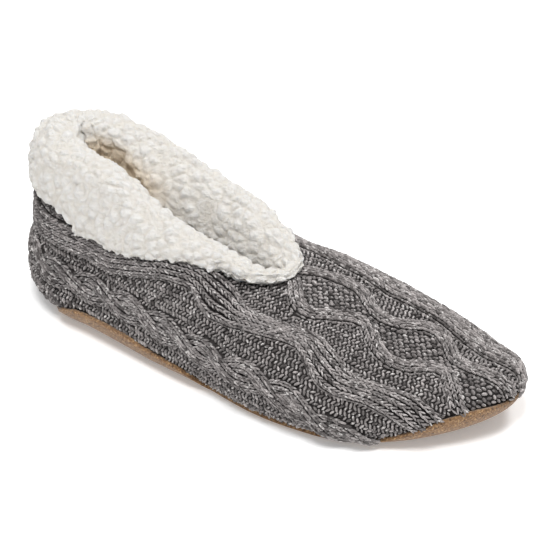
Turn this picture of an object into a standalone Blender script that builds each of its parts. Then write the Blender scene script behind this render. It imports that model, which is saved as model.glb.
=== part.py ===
"""A cable-knit slipper sock with a turned-down fleece cuff and a wrapped suede sole.

Metres, +Z up, toe towards +X, inner side of the foot towards +Y. The right foot's slipper is modelled,
empty and standing on its sole. The origin is on the floor, under the middle of the whole slipper.

Every surface is worked out from one form. Spokes run round the foot, from its outline in to a spine
line. Along a spoke the wall starts under the foot, turns up round the widest line and leans in to the
collar edge or, past the throat, to the vamp ridge. Depth is measured in from the outline, and girth
down the wall from the ridge.
"""

import math

import bmesh
import bpy
import numpy as np

# Lengths and widths of the foot form
LENGTH = 0.252
BALL_WIDTH = 0.1004
HEEL_WIDTH = 0.0715
HEEL_CAP = 0.048
TOE_CAP = 0.0685
TOE_POINT = 1.75
HEEL_SWING = 0.0058
MIDDLE_SWING = -0.0040
TOE_SWING = 0.0055
HEEL_SPINE = 0.0400
TOE_SPINE = 0.2220
SPINE_BLEND = 0.0090

# Heights of the foot form
BACK_HEIGHT = 0.0770
HEEL_LEAN = 0.0095
LEAN_HEIGHT = 0.0220
THROAT_HEIGHT = 0.0460
TOE_HEIGHT = 0.0240
HEEL_WIDEST = 0.0155
MIDDLE_WIDEST = 0.0120
TOE_WIDEST = 0.0110
HEEL_TUCK = 0.0160
MIDDLE_TUCK = 0.0095
TOE_TUCK = 0.0120
TOE_SPRING = 0.0062
HEEL_SPRING = 0.0045
ARCH_LIFT = 0.0012
WALL_ROUND = 2.4
HEEL_TOP_ROUND = 2.2
VAMP_TOP_ROUND = 3.4
TOE_TOP_ROUND = 2.5

# The opening
THROAT_PLACE = 0.140
SIDE_OPENING = 0.019
THROAT_RADIUS = 0.014

# Walls and clearances
KNIT_WALL = 0.0030
SUEDE = 0.0020
GAP = 0.0003
CUFF_GAP = 0.0008
RIM_HEIGHT = 0.0092
RIM_LIP = 0.0034
INSOLE_THICK = 0.0045
INSOLE_CROWN = 0.0012
FLEECE_INSIDE = 0.0080
FLEECE_OUTSIDE = 0.0090
FLEECE_BACK = 0.0100
CREST_RISE = 0.0110
CREST_ROOM = 0.0012
CUFF_DROP = 0.0260
CUFF_TUCK_IN = 0.0260
FRONT_TUCK_IN = 0.0117
FRONT_OPENING = 0.0105
CUFF_LUMP = 0.0010
HEM_ROUND = 0.0020
HEM_THICK = 0.35
LEG_END_THICK = 0.80
FRONT_START = 0.80
BACK_END = 0.30

# The knit's raised bands. QUARTER_GIRTH is the knitted panel's half width, from its middle wale to the
# widest line, and the tables below give the bands' places across it as shares
QUARTER_GIRTH = 0.072
QUARTER_END = 0.118
VAMP_START = 0.152
RIB_WIDTH = 0.0050
ROPE_WIDTH = 0.0120
ROPE_LOBE = 0.0220
ROPE_DIP = 0.30
BAND_EDGE = 0.0030
RELIEF = 0.0022
RELIEF_MARGIN = 0.0040

# Where the cuff's stations start to turn ahead, and have turned, on their way to the throat
TURN_START = 0.100
TURN_END = 0.118

# How finely each piece is cut into faces
COLLAR_CROWDING = 1.3
NORMAL_REACH = 0.0012
WELD = 1e-6
QUARTER_STEPS = 30
VAMP_STEPS = 26
WALL_ROWS = 15
TUCK_ROWS = 4
LINING_ROWS = 4
RIM_ROWS = 4
PROFILE_SAMPLES = 64
OUTLINE_SAMPLES = 600
CREST_STEPS = 6
INSIDE_TURNS = (0.0, math.radians(50), math.radians(90))
# The insole's side from its shelf up, as shares of its thickness
INSOLE_LEVELS = (0.12, 0.5, 1.0)
# The turned-down flap from its hem up: share of the drop, and share of the thickness
FLAP_SHAPE = ((1.0, 0.68), (0.66, 0.98), (0.33, 1.0), (0.0, 1.0))
# The cuff's other section points, as shares: down the inside leg, back up it, and down behind the flap
LEG_LEVELS = (0.0, 0.5, 1.0)
LEG_BACK_LEVELS = (1.0, 0.66, 0.33)
FLAP_BACK_LEVELS = (0.2, 0.4, 0.6, 0.8)
# How many times the fleece's three waves of lumps go round the collar
LUMP_TURNS = (11, 5, 17)

# Along the middle of the foot, the half width's share of the way from heel to ball
FLARE = {
    "along": [0.0, 0.17, 0.33, 0.43, 0.57, 0.77, 0.92, 1.0],
    "wider": [0.0, 0.105, 0.23, 0.345, 0.49, 0.86, 0.985, 1.0],
}
# The middle line's sideways place, as shares of the heel's and the toe's swing
BACK_SWING = {
    "along": [0.0, 0.18, 0.28, 0.37, 0.42, 0.52, 0.63],
    "swing": [1.0, 0.88, 0.61, 0.34, 0.22, 0.08, 0.0],
}
FRONT_SWING = {
    "along": [0.63, 0.73, 0.80, 0.87, 0.935, 1.0],
    "swing": [0.0, 0.07, 0.21, 0.48, 0.76, 1.0],
}
# From the back of the heel to the throat: the collar edge's rise above the throat, and its half opening
# as a share of the side opening
QUARTER = {
    "along": [0.0, 0.06, 0.29, 0.38, 0.46, 0.59, 0.69, 0.78, 0.89, 0.96, 1.0],
    "rise": [1.0, 0.993, 0.935, 0.865, 0.75, 0.54, 0.41, 0.29, 0.12, 0.026, 0.0],
    "opening": [1.50, 1.36, 1.05, 1.02, 1.0, 0.99, 0.96, 0.89, 0.75, 0.73, 0.72],
}
# From the back of the heel to the throat, for each side, as shares of the cuff's own sizes: how far it
# drops outside, and how thick it is outside and inside
CUFF = {
    "along": [0.0, 0.12, 0.22, 0.30, 0.40, 0.50, 0.60, 0.70, 0.80, 0.90, 0.96, 1.0],
    "near drop": [0.82, 0.80, 0.84, 1.05, 0.96, 0.86, 0.66, 0.50, 0.36, 0.18, 0.15, 0.30],
    "far drop": [0.82, 0.85, 0.95, 1.0, 0.98, 0.88, 0.68, 0.54, 0.42, 0.30, 0.28, 0.30],
    "near outside": [1.0, 1.0, 1.0, 1.0, 1.0, 1.0, 1.0, 1.0, 0.95, 0.80, 0.72, 0.75],
    "far outside": [1.0, 1.0, 1.0, 1.05, 1.15, 1.22, 1.25, 1.25, 1.20, 1.08, 0.92, 0.75],
    "near inside": [1.0, 1.0, 1.0, 1.0, 1.0, 1.0, 1.0, 0.92, 0.70, 0.45, 0.42, 0.75],
    "far inside": [1.0, 1.0, 1.0, 1.05, 1.15, 1.22, 1.25, 1.25, 1.20, 1.08, 0.92, 0.75],
}
# From the throat to the end of the spine, the ridge's height between the toe's and the throat's
VAMP = {
    "along": [0.0, 0.12, 0.27, 0.54, 0.76, 0.89, 1.0],
    "height": [1.0, 0.91, 0.75, 0.50, 0.32, 0.17, 0.0],
}
# Along the foot, how much of the suede rim's full height shows
RIM = {
    "along": [0.0, 0.03, 0.10, 0.16, 0.36, 0.45, 0.51, 0.70, 0.76, 0.84, 0.96, 1.0],
    "height": [0.0, 0.15, 0.80, 1.0, 1.0, 0.55, 0.0, 0.0, 0.50, 1.15, 1.25, 0.80],
}
# Along the foot, the wavy cable band's edges on each side, across the panel from its middle wale
WAVE = {
    "along": [0.0, 0.167, 0.246, 0.298, 0.345, 0.393, 0.437, 0.48, 0.52, 0.544, 0.575, 0.611, 0.643, 0.687,
              0.714, 0.742, 0.766, 0.794, 0.821, 0.849, 0.877, 0.905, 0.937, 1.0],
    "near top": [0.50, 0.50, 0.507, 0.458, 0.41, 0.369, 0.357, 0.365, 0.381, 0.411, 0.414, 0.389, 0.365,
                 0.333, 0.367, 0.414, 0.469, 0.477, 0.458, 0.439, 0.429, 0.443, 0.477, 0.556],
    "near bottom": [0.701, 0.667, 0.675, 0.633, 0.575, 0.532, 0.525, 0.606, 0.61, 0.589, 0.554, 0.528,
                    0.497, 0.528, 0.594, 0.641, 0.647, 0.625, 0.608, 0.607, 0.615, 0.633, 0.658, 0.736],
    "far top": [0.50, 0.50, 0.507, 0.458, 0.41, 0.375, 0.375, 0.398, 0.416, 0.409, 0.38, 0.369, 0.386, 0.361,
                0.336, 0.34, 0.332, 0.318, 0.30, 0.257, 0.214, 0.163, 0.102, 0.069],
    "far bottom": [0.701, 0.667, 0.675, 0.633, 0.589, 0.556, 0.569, 0.598, 0.60, 0.586, 0.564, 0.559,
                   0.569, 0.569, 0.562, 0.553, 0.54, 0.521, 0.50, 0.457, 0.414, 0.364, 0.303, 0.264],
}
# Along the foot, the two ribs round the diamonds, across the panel: below 0 on the near side
RIBS = {
    "along": [0.56, 0.575, 0.591, 0.607, 0.627, 0.647, 0.667, 0.69, 0.71, 0.73, 0.75, 0.77, 0.79, 0.813, 0.833,
              0.857, 0.877, 0.897, 0.917, 0.933, 0.948, 0.968, 0.992],
    "near": [-0.007, -0.014, -0.061, -0.139, -0.197, -0.197, -0.15, -0.089, -0.044, -0.039, -0.1,
             -0.172, -0.228, -0.255, -0.245, -0.184, -0.138, -0.15, -0.233, -0.304, -0.378, -0.444, -0.5],
    "far": [0.083, 0.117, 0.158, 0.196, 0.232, 0.249, 0.245, 0.206, 0.145, 0.1, 0.085, 0.095, 0.142, 0.199,
            0.195, 0.139, 0.068, 0.01, -0.027, -0.047, -0.054, -0.061, -0.067],
}
# Along the foot, the middle of the rope cable near the sole, across the panel
ROPE = {
    "along": [0.0, 0.167, 0.234, 0.294, 0.361, 0.433, 0.48, 0.556, 0.623, 0.683, 0.714, 0.794, 1.0],
    "across": [0.854, 0.853, 0.849, 0.833, 0.825, 0.833, 0.847, 0.811, 0.783, 0.797, 0.822, 0.861, 0.917],
}


def smooth_step(low, high, value):
    share = np.clip((value - low) / (high - low), 0.0, 1.0)
    return share * share * (3.0 - 2.0 * share)


def read_table(table, column, along):
    """A smooth curve through a table's column that never overshoots its rows."""
    x = np.array(table["along"])
    y = np.array(table[column])
    step = np.diff(x)
    slope = np.diff(y) / step
    inner = np.zeros(len(x))
    same_way = slope[:-1] * slope[1:] > 0.0
    before = 2.0 * step[1:] + step[:-1]
    after = step[1:] + 2.0 * step[:-1]
    safe = np.where(same_way, slope[:-1] * slope[1:], 1.0)
    mean = (before + after) * safe / np.where(same_way, before * slope[1:] + after * slope[:-1], 1.0)
    inner[1:-1] = np.where(same_way, mean, 0.0)
    inner[0] = slope[0]
    inner[-1] = slope[-1]
    along = np.clip(along, x[0], x[-1])
    k = np.clip(np.searchsorted(x, along, side="right") - 1, 0, len(step) - 1)
    t = (along - x[k]) / step[k]
    rise = y[k] * (1 - t) ** 2 * (1 + 2 * t) + y[k + 1] * t ** 2 * (3 - 2 * t)
    return rise + step[k] * t * (1 - t) * (inner[k] * (1 - t) - inner[k + 1] * t)


def by_region(x, heel, middle, toe):
    """A size that has its own value at the heel, the middle and the toe."""
    share = x / LENGTH
    behind = 1.0 - smooth_step(0.15, 0.45, share)
    ahead = smooth_step(0.60, 0.88, share)
    return middle + (heel - middle) * behind + (toe - middle) * ahead


def floor_lift(x):
    """How far the underside is off the floor: heel and toe spring, and a low arch."""
    share = x / LENGTH
    toe = TOE_SPRING * np.clip((share - 0.76) / 0.24, 0.0, None) ** 2
    heel = HEEL_SPRING * np.clip((0.11 - share) / 0.11, 0.0, None) ** 2
    arch = ARCH_LIFT * np.sin(math.pi * np.clip((share - 0.34) / 0.20, 0.0, 1.0)) ** 2
    return toe + heel + arch


def half_width(x):
    toe_start = LENGTH - TOE_CAP
    middle = np.clip((x - HEEL_CAP) / (toe_start - HEEL_CAP), 0.0, 1.0)
    wider = read_table(FLARE, "wider", middle)
    width = (HEEL_WIDTH + (BALL_WIDTH - HEEL_WIDTH) * wider) / 2
    back = np.clip((HEEL_CAP - x) / HEEL_CAP, 0.0, 1.0)
    front = np.clip((x - toe_start) / TOE_CAP, 0.0, 1.0)
    heel_shape = np.sqrt(np.clip(1.0 - back ** 2, 0.0, 1.0))
    toe_shape = np.clip(1.0 - front ** TOE_POINT, 0.0, 1.0) ** (1.0 / TOE_POINT)
    return width * heel_shape * toe_shape


def middle_line(x):
    share = x / LENGTH
    back = read_table(BACK_SWING, "swing", share)
    front = read_table(FRONT_SWING, "swing", share)
    return MIDDLE_SWING + (HEEL_SWING - MIDDLE_SWING) * back + (TOE_SWING - MIDDLE_SWING) * front


def spine_x(x):
    """The spine's place for an outline place: equal to it, but held off the heel and toe ends."""
    held = HEEL_SPINE + SPINE_BLEND * np.log1p(np.exp((x - HEEL_SPINE) / SPINE_BLEND))
    return TOE_SPINE - SPINE_BLEND * np.log1p(np.exp((TOE_SPINE - held) / SPINE_BLEND))


def collar_half_opening(x):
    share = x / THROAT_PLACE
    side = SIDE_OPENING * read_table(QUARTER, "opening", share)
    ahead = np.clip((x - (THROAT_PLACE - THROAT_RADIUS)) / THROAT_RADIUS, 0.0, 1.0)
    return side * np.sqrt(1.0 - ahead ** 2)


def top_height(x):
    """The height above the floor of the collar edge or, past the throat, of the vamp ridge."""
    quarter = THROAT_HEIGHT + (BACK_HEIGHT - THROAT_HEIGHT) * read_table(QUARTER, "rise", x / THROAT_PLACE)
    along = (x - THROAT_PLACE) / (TOE_SPINE - THROAT_PLACE)
    vamp = TOE_HEIGHT + (THROAT_HEIGHT - TOE_HEIGHT) * read_table(VAMP, "height", along)
    return np.where(x < THROAT_PLACE, quarter, vamp)


class Spoke:
    """One section of the form, from the outline in to the spine, on the near (-1) or far (+1) side."""

    def __init__(self, x, side):
        self.x = x
        self.side = side
        self.outline = np.array([x, middle_line(x) + side * half_width(x)])
        inner_x = spine_x(x)
        self.spine = np.array([inner_x, middle_line(inner_x)])
        self.reach = float(np.linalg.norm(self.spine - self.outline))
        self.inwards = (self.spine - self.outline) / self.reach
        self.widest = float(by_region(x, HEEL_WIDEST, MIDDLE_WIDEST, TOE_WIDEST))
        self.tuck = float(by_region(x, HEEL_TUCK, MIDDLE_TUCK, TOE_TUCK))
        self.drop = self.widest - SUEDE - GAP
        top_round = float(by_region(x, HEEL_TOP_ROUND, VAMP_TOP_ROUND, TOE_TOP_ROUND))
        lean = HEEL_LEAN * (1.0 - float(smooth_step(0.06, 0.55, x / LENGTH)))
        opening = collar_half_opening(x) if x < THROAT_PLACE else 0.0
        self.top_turn = math.acos(min(opening / (self.reach - lean), 1.0) ** (WALL_ROUND / 2))
        height = float(top_height(inner_x if x >= THROAT_PLACE else x)) - floor_lift(inner_x) - self.widest
        turn = np.linspace(0.0, math.pi / 2, PROFILE_SAMPLES)
        climb = height * (np.sin(turn) / math.sin(self.top_turn)) ** (2 / top_round)
        self.heights = self.widest + climb
        self.depths = (self.reach - lean) * (1.0 - np.cos(turn) ** (2 / WALL_ROUND))
        self.depths = self.depths + lean * (1.0 - np.exp(-climb / LEAN_HEIGHT))
        steps = np.hypot(np.diff(self.depths), np.diff(self.heights))
        climbed = np.concatenate([[0.0], np.cumsum(steps)])
        self.girth = float(climbed[-1])
        self.girths = self.girth - climbed
        self.edge_girth = float(np.interp(self.top_turn, turn, self.girths))

    def place(self, depth, height):
        flat = self.outline + self.inwards * depth
        return np.array([flat[0], flat[1], height + floor_lift(flat[0])])

    def wall(self, girth, out=0.0):
        """A point of the wall at a girth down from the ridge, moved out along the wall's normal."""
        back, order = self.girths[::-1], slice(None, None, -1)
        depth = np.interp(girth, back, self.depths[order])
        height = np.interp(girth, back, self.heights[order])
        if out:
            low, high = min(girth + NORMAL_REACH, self.girth), max(girth - NORMAL_REACH, 0.0)
            run = np.interp(high, back, self.depths[order]) - np.interp(low, back, self.depths[order])
            climb = np.interp(high, back, self.heights[order]) - np.interp(low, back, self.heights[order])
            length = math.hypot(run, climb)
            if girth < WELD:
                run, climb, length = 1.0, 0.0, 1.0
            depth -= out * climb / length
            height += out * run / length
        return self.place(depth, height)

    def under_profile(self, turn, out=0.0):
        """Depth and height of the wall below the widest line: turn is 0 at that line, then a right angle."""
        depth = self.tuck * (1.0 - math.cos(turn))
        height = self.widest - self.drop * math.sin(turn)
        across, down = self.drop * math.cos(turn), self.tuck * math.sin(turn)
        length = math.hypot(across, down)
        return depth - out * across / length, height - out * down / length

    def under(self, turn, out=0.0):
        return self.place(*self.under_profile(turn, out))

    def turn_at(self, height):
        return math.asin(min(max((self.widest - height) / self.drop, 0.0), 1.0))


def outline_places():
    """Places along the foot for the stations, even along the outline and the collar edge."""
    swing = np.linspace(0.0, math.pi, OUTLINE_SAMPLES)
    x = LENGTH * (1.0 - np.cos(swing)) / 2
    y = middle_line(x) - half_width(x)
    collar = np.where(x < THROAT_PLACE, collar_half_opening(np.minimum(x, THROAT_PLACE)), 0.0)
    along = np.hypot(np.diff(x), np.diff(y)) + COLLAR_CROWDING * np.abs(np.diff(collar))
    way = np.concatenate([[0.0], np.cumsum(along)])
    throat = np.interp(THROAT_PLACE, x, way)
    back = np.interp(np.linspace(0.0, throat, QUARTER_STEPS + 1), way, x)
    front = np.interp(np.linspace(throat, way[-1], VAMP_STEPS + 1), way, x)
    back[-1] = THROAT_PLACE
    return np.concatenate([back, front[1:]])


PLACES = outline_places()
NEAR = [Spoke(x, -1) for x in PLACES]
FAR = [Spoke(x, 1) for x in PLACES]


def ring_of_spokes():
    """All the way round: back of the heel, near side, toe, far side."""
    return NEAR + FAR[-2:0:-1]


def knit_girth(spoke, girth):
    """Where a wall point lies across the knitted panel, in metres from the vamp's middle wale."""
    panel = QUARTER_GIRTH - (spoke.girth - girth)
    ahead = smooth_step(QUARTER_END, VAMP_START, spoke.x)
    return panel + (girth - panel) * ahead


def raised(across, top, bottom):
    """1 between a band's two edges, falling smoothly to 0 past them."""
    inside = min(across - top, bottom - across)
    return float(smooth_step(-BAND_EDGE / 2, BAND_EDGE / 2, inside))


def relief(spoke, girth):
    """The height of the cable bands over the plain knit."""
    across = knit_girth(spoke, girth)
    along = spoke.x / LENGTH
    which = "near " if spoke.side < 0 else "far "
    top, bottom = (QUARTER_GIRTH * float(read_table(WAVE, which + edge, along)) for edge in ("top", "bottom"))
    heights = [raised(across, top, bottom)]
    for rib in ("near", "far"):
        middle = QUARTER_GIRTH * float(read_table(RIBS, rib, along))
        offset = spoke.side * across - middle
        heights.append(raised(offset, -RIB_WIDTH / 2, RIB_WIDTH / 2))
    middle = QUARTER_GIRTH * float(read_table(ROPE, "across", along))
    lobe = ROPE_DIP + (1.0 - ROPE_DIP) * math.sin(math.pi * spoke.x / ROPE_LOBE) ** 2
    heights.append(lobe * raised(across, middle - ROPE_WIDTH / 2, middle + ROPE_WIDTH / 2))
    return RELIEF * max(heights)


def covered_girth(spoke):
    """The girth down to which the cuff covers the wall, on a spoke behind the throat."""
    drop = CUFF_DROP * cuff_share("drop", spoke.x, spoke.side)
    ahead = spoke.x - (THROAT_PLACE - THROAT_RADIUS)
    if ahead <= 0.0:
        return spoke.edge_girth + drop
    return math.sqrt(max((THROAT_RADIUS + drop) ** 2 - ahead ** 2, 0.0))


def cuff_share(column, x, side):
    """The cuff's drop or thickness at a place, as a share of what it is at the back."""
    which = "near " if side < 0 else "far "
    return float(read_table(CUFF, which + column, x / THROAT_PLACE))


def new_object(name, bm, colour, roughness):
    """Makes a closed bmesh an object, with its own material."""
    bmesh.ops.remove_doubles(bm, verts=bm.verts, dist=WELD)
    bmesh.ops.recalc_face_normals(bm, faces=bm.faces)
    mesh = bpy.data.meshes.new(name)
    bm.to_mesh(mesh)
    bm.free()
    mesh.shade_smooth()
    material = bpy.data.materials.new(name)
    material.use_nodes = True
    shader = material.node_tree.nodes["Principled BSDF"]
    shader.inputs["Base Color"].default_value = (*colour, 1.0)
    shader.inputs["Roughness"].default_value = roughness
    shader.inputs["Metallic"].default_value = 0.0
    mesh.materials.append(material)
    obj = bpy.data.objects.new(name, mesh)
    bpy.context.collection.objects.link(obj)
    return obj


def add_ring(bm, points):
    return [bm.verts.new(point) for point in points]


def skin(bm, first, second):
    """Faces between two rings that go round the foot with the same count of points."""
    count = len(first)
    for i in range(count):
        j = (i + 1) % count
        corners = []
        for vert in (first[i], first[j], second[j], second[i]):
            if vert not in corners:
                corners.append(vert)
        if len(corners) > 2 and not bm.faces.get(corners):
            bm.faces.new(corners)


def add_spine_ring(bm, stations, point_of):
    """A ring whose near and far points are one, so that it closes a surface along the spine."""
    count = len(stations)
    half = count // 2
    line = [bm.verts.new(point_of(stations[i])) for i in range(half + 1)]
    return line + line[-2:0:-1]


def make_upper():
    """The hollow knit upper, open at the collar and underneath."""
    bm = bmesh.new()
    spokes = ring_of_spokes()
    throat = QUARTER_STEPS
    count = len(spokes)
    rows = []
    for row in range(TUCK_ROWS):
        turn = math.pi / 2 * (1.0 - row / TUCK_ROWS)
        rows.append(add_ring(bm, [spoke.under(turn) for spoke in spokes]))
    for row in range(WALL_ROWS):
        share = row / WALL_ROWS
        points = []
        for spoke in spokes:
            girth = spoke.girth + (spoke.edge_girth - spoke.girth) * share
            shown = smooth_step(RELIEF_MARGIN, 2 * RELIEF_MARGIN, girth - covered_girth(spoke))
            above_rim = smooth_step(0.0, RELIEF_MARGIN, spoke.girth - girth)
            points.append(spoke.wall(girth, relief(spoke, girth) * shown * above_rim))
        rows.append(add_ring(bm, points))

    def top_ring(out):
        near = []
        for i, spoke in enumerate(NEAR):
            if i >= throat:
                near.append(bm.verts.new(spoke.wall(0.0, out)))
            else:
                near.append(bm.verts.new(spoke.wall(spoke.edge_girth, out)))
        far = []
        for i, spoke in enumerate(FAR[1:-1], start=1):
            far.append(near[i] if i >= throat else bm.verts.new(spoke.wall(spoke.edge_girth, out)))
        return near + far[::-1]

    outer_top = top_ring(0.0)
    rows.append(outer_top)
    inner_top = top_ring(-KNIT_WALL)
    rows_inside = []
    for row in range(LINING_ROWS, 0, -1):
        share = row / (LINING_ROWS + 1)
        points = []
        for spoke in spokes:
            girth = spoke.girth + (spoke.edge_girth - spoke.girth) * share
            points.append(spoke.wall(girth, -KNIT_WALL))
        rows_inside.append(add_ring(bm, points))
    for turn in INSIDE_TURNS:
        rows_inside.append(add_ring(bm, [spoke.under(turn, -KNIT_WALL) for spoke in spokes]))
    for below, above in zip(rows, rows[1:]):
        skin(bm, below, above)
    inside = [inner_top] + rows_inside
    for above, below in zip(inside, inside[1:]):
        skin(bm, above, below)
    skin(bm, inside[-1], rows[0])
    for i in list(range(throat)) + list(range(count - throat, count)):
        j = (i + 1) % count
        bm.faces.new((outer_top[i], outer_top[j], inner_top[j], inner_top[i]))
    new_object("upper", bm, (0.125, 0.112, 0.108), 0.95)


def rim_turn(spoke):
    """How far up the tucked wall the suede reaches, as a turn from the widest line."""
    shown = float(read_table(RIM, "height", spoke.x / LENGTH))
    return spoke.turn_at(RIM_LIP + (RIM_HEIGHT - RIM_LIP) * shown)


def make_outsole():
    """The suede sole: a flat sheet whose edge is wrapped up round the knit."""
    bm = bmesh.new()
    spokes = ring_of_spokes()
    top = add_spine_ring(bm, spokes, lambda spoke: spoke.place(spoke.reach, SUEDE))
    bottom = add_spine_ring(bm, spokes, lambda spoke: spoke.place(spoke.reach, 0.0))
    rings = [top]
    for row in range(RIM_ROWS + 1):
        points = []
        for spoke in spokes:
            last = rim_turn(spoke)
            points.append(spoke.under(math.pi / 2 + (last - math.pi / 2) * row / RIM_ROWS, GAP))
        rings.append(add_ring(bm, points))
    for row in range(RIM_ROWS, -1, -1):
        points = []
        for spoke in spokes:
            last = rim_turn(spoke)
            points.append(spoke.under(math.pi / 2 + (last - math.pi / 2) * row / RIM_ROWS, GAP + SUEDE))
        rings.append(add_ring(bm, points))
    rings.append(bottom)
    for inner, outer in zip(rings, rings[1:]):
        skin(bm, inner, outer)
    new_object("outsole", bm, (0.36, 0.215, 0.11), 0.9)


def insole_depth(spoke, height):
    """How far in the insole's side stands at a height, clear of the wall's inside."""
    depths = []
    heights = []
    for turn in INSIDE_TURNS[::-1]:
        depth, level = spoke.under_profile(turn, -KNIT_WALL)
        depths.append(depth)
        heights.append(level)
    return float(np.interp(height - GAP, heights, depths)) + 2 * GAP


def make_insole():
    """The padded insole, with a plug that fills the opening between the upper's turned-in edges."""
    bm = bmesh.new()
    spokes = ring_of_spokes()[::2]
    seat = SUEDE + GAP
    shelf = seat + KNIT_WALL + GAP
    top = shelf + INSOLE_THICK
    rings = [add_spine_ring(bm, spokes, lambda spoke: spoke.place(spoke.reach, seat))]
    for height in (seat, shelf):
        rings.append(add_ring(bm, [spoke.place(spoke.tuck + 2 * GAP, height) for spoke in spokes]))
    for share in INSOLE_LEVELS:
        height = shelf + INSOLE_THICK * share
        rings.append(add_ring(bm, [spoke.place(insole_depth(spoke, height), height) for spoke in spokes]))
    rings.append(add_spine_ring(bm, spokes, lambda spoke: spoke.place(spoke.reach, top + INSOLE_CROWN)))
    for inner, outer in zip(rings, rings[1:]):
        skin(bm, inner, outer)
    new_object("insole", bm, (0.72, 0.66, 0.56), 0.95)


class CuffPath:
    """From one place on the collar edge, the line that the cuff follows down the outside of the wall."""

    def __init__(self, index, side):
        self.side = side
        self.spoke = (NEAR if side < 0 else FAR)[index]
        self.start = self.spoke.edge_girth
        line = NEAR[: QUARTER_STEPS + 1]
        if index == QUARTER_STEPS:
            self.ahead, self.down = 1.0, 0.0
        else:
            before, after = line[max(index - 1, 0)], line[index + 1]
            run = after.spine[0] - before.spine[0]
            closing = before.edge_girth - after.edge_girth
            turned = math.atan2(closing, run) * smooth_step(TURN_START, TURN_END, self.spoke.x)
            self.ahead, self.down = math.sin(turned), math.cos(turned)

    def point(self, distance, out=0.0):
        x = self.spoke.x + self.ahead * distance
        girth = self.start + self.down * distance
        spoke = self.spoke if self.ahead < WELD else Spoke(x, self.side)
        return spoke.wall(girth, out)


def lump(i, j, count):
    """The fleece's soft lumps, as a share of the full lump, at station i and section point j."""
    way = 2 * math.pi * i / count
    many, few, most = LUMP_TURNS
    first = math.sin(many * way + 1.9 * j) * math.cos(few * way - 0.8 * j)
    second = math.sin(most * way - 1.3 * j + 1.0)
    return 0.6 * first + 0.4 * second


def cuff_section(path, i, count):
    """The cuff's section at one station: out and down the flap, round the crest, down the inside leg."""
    x = path.spoke.x
    hem = CUFF_DROP * cuff_share("drop", x, path.side)
    front = smooth_step(FRONT_START, 1.0, x / THROAT_PLACE)
    leg = CUFF_TUCK_IN + (FRONT_TUCK_IN - CUFF_TUCK_IN) * front
    slot = CUFF_GAP
    outside = FLEECE_OUTSIDE * cuff_share("outside", x, path.side)
    back = 1.0 - float(smooth_step(0.0, BACK_END, x / THROAT_PLACE))
    inside = FLEECE_INSIDE * cuff_share("inside", x, path.side) + FLEECE_BACK * back
    outer = slot + outside
    inner = KNIT_WALL + slot + inside
    edge = path.point(0.0)
    out = path.point(0.0, NORMAL_REACH) - edge
    out /= np.linalg.norm(out)
    up = edge - path.point(NORMAL_REACH)
    up -= out * (up @ out)
    up /= np.linalg.norm(up)
    crest = (outer + inner) / 2
    centre = edge + out * (outer - inner) / 2
    opening = float(collar_half_opening(x)) if x < THROAT_PLACE else THROAT_RADIUS
    room = max(opening, FRONT_OPENING) - CREST_ROOM
    rise = min(crest, room, CREST_RISE)
    points = [path.point(hem, slot), path.point(hem + HEM_ROUND, slot + HEM_THICK * outside)]
    for j, (share, thick) in enumerate(FLAP_SHAPE):
        fat = CUFF_LUMP * lump(i, j, count)
        points.append(path.point(hem * share, slot + outside * thick + fat))
    for j in range(1, CREST_STEPS):
        turn = math.pi * j / CREST_STEPS
        fat = CUFF_LUMP * lump(i, j + 3, count)
        across = out * math.cos(turn) * (crest + fat)
        points.append(centre + across + up * math.sin(turn) * (rise + fat))
    for j, share in enumerate(LEG_LEVELS):
        fat = CUFF_LUMP * lump(i, j + 3 + CREST_STEPS, count)
        thick = inside * (LEG_END_THICK if share == 1.0 else 1.0)
        points.append(path.point(leg * share, -(KNIT_WALL + slot + thick + fat)))
    for share in LEG_BACK_LEVELS:
        points.append(path.point(leg * share, -(KNIT_WALL + slot)))
    points.append(edge - out * (KNIT_WALL + slot) + up * slot)
    points.append(edge + out * slot + up * slot)
    for share in FLAP_BACK_LEVELS:
        points.append(path.point(hem * share, slot))
    return points


def make_cuff():
    """The fleece cuff: the lining's top turned down over the collar edge."""
    bm = bmesh.new()
    near = [CuffPath(i, -1) for i in range(QUARTER_STEPS + 1)]
    far = [CuffPath(i, 1) for i in range(1, QUARTER_STEPS)]
    paths = near + far[::-1]
    sections = [add_ring(bm, cuff_section(path, i, len(paths))) for i, path in enumerate(paths)]
    for i, section in enumerate(sections):
        skin(bm, section, sections[(i + 1) % len(sections)])
    new_object("cuff", bm, (0.78, 0.74, 0.66), 0.97)


def centre_on_floor():
    """Moves every piece so that the origin is on the floor under the middle of the whole."""
    pieces = [obj for obj in bpy.data.objects if obj.type == "MESH"]
    corners = np.array([vert.co for obj in pieces for vert in obj.data.vertices])
    low, high = corners.min(axis=0), corners.max(axis=0)
    middle = np.array([(low[0] + high[0]) / 2, (low[1] + high[1]) / 2, low[2]])
    for obj in pieces:
        for vert in obj.data.vertices:
            vert.co = np.array(vert.co) - middle


for obj in list(bpy.data.objects):
    bpy.data.objects.remove(obj)
make_outsole()
make_upper()
make_insole()
make_cuff()
centre_on_floor()
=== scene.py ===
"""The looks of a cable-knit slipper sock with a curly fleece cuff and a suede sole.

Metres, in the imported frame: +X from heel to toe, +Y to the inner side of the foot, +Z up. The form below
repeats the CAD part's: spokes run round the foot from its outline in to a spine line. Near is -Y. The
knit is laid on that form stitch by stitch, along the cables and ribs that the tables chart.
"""

import math

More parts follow.
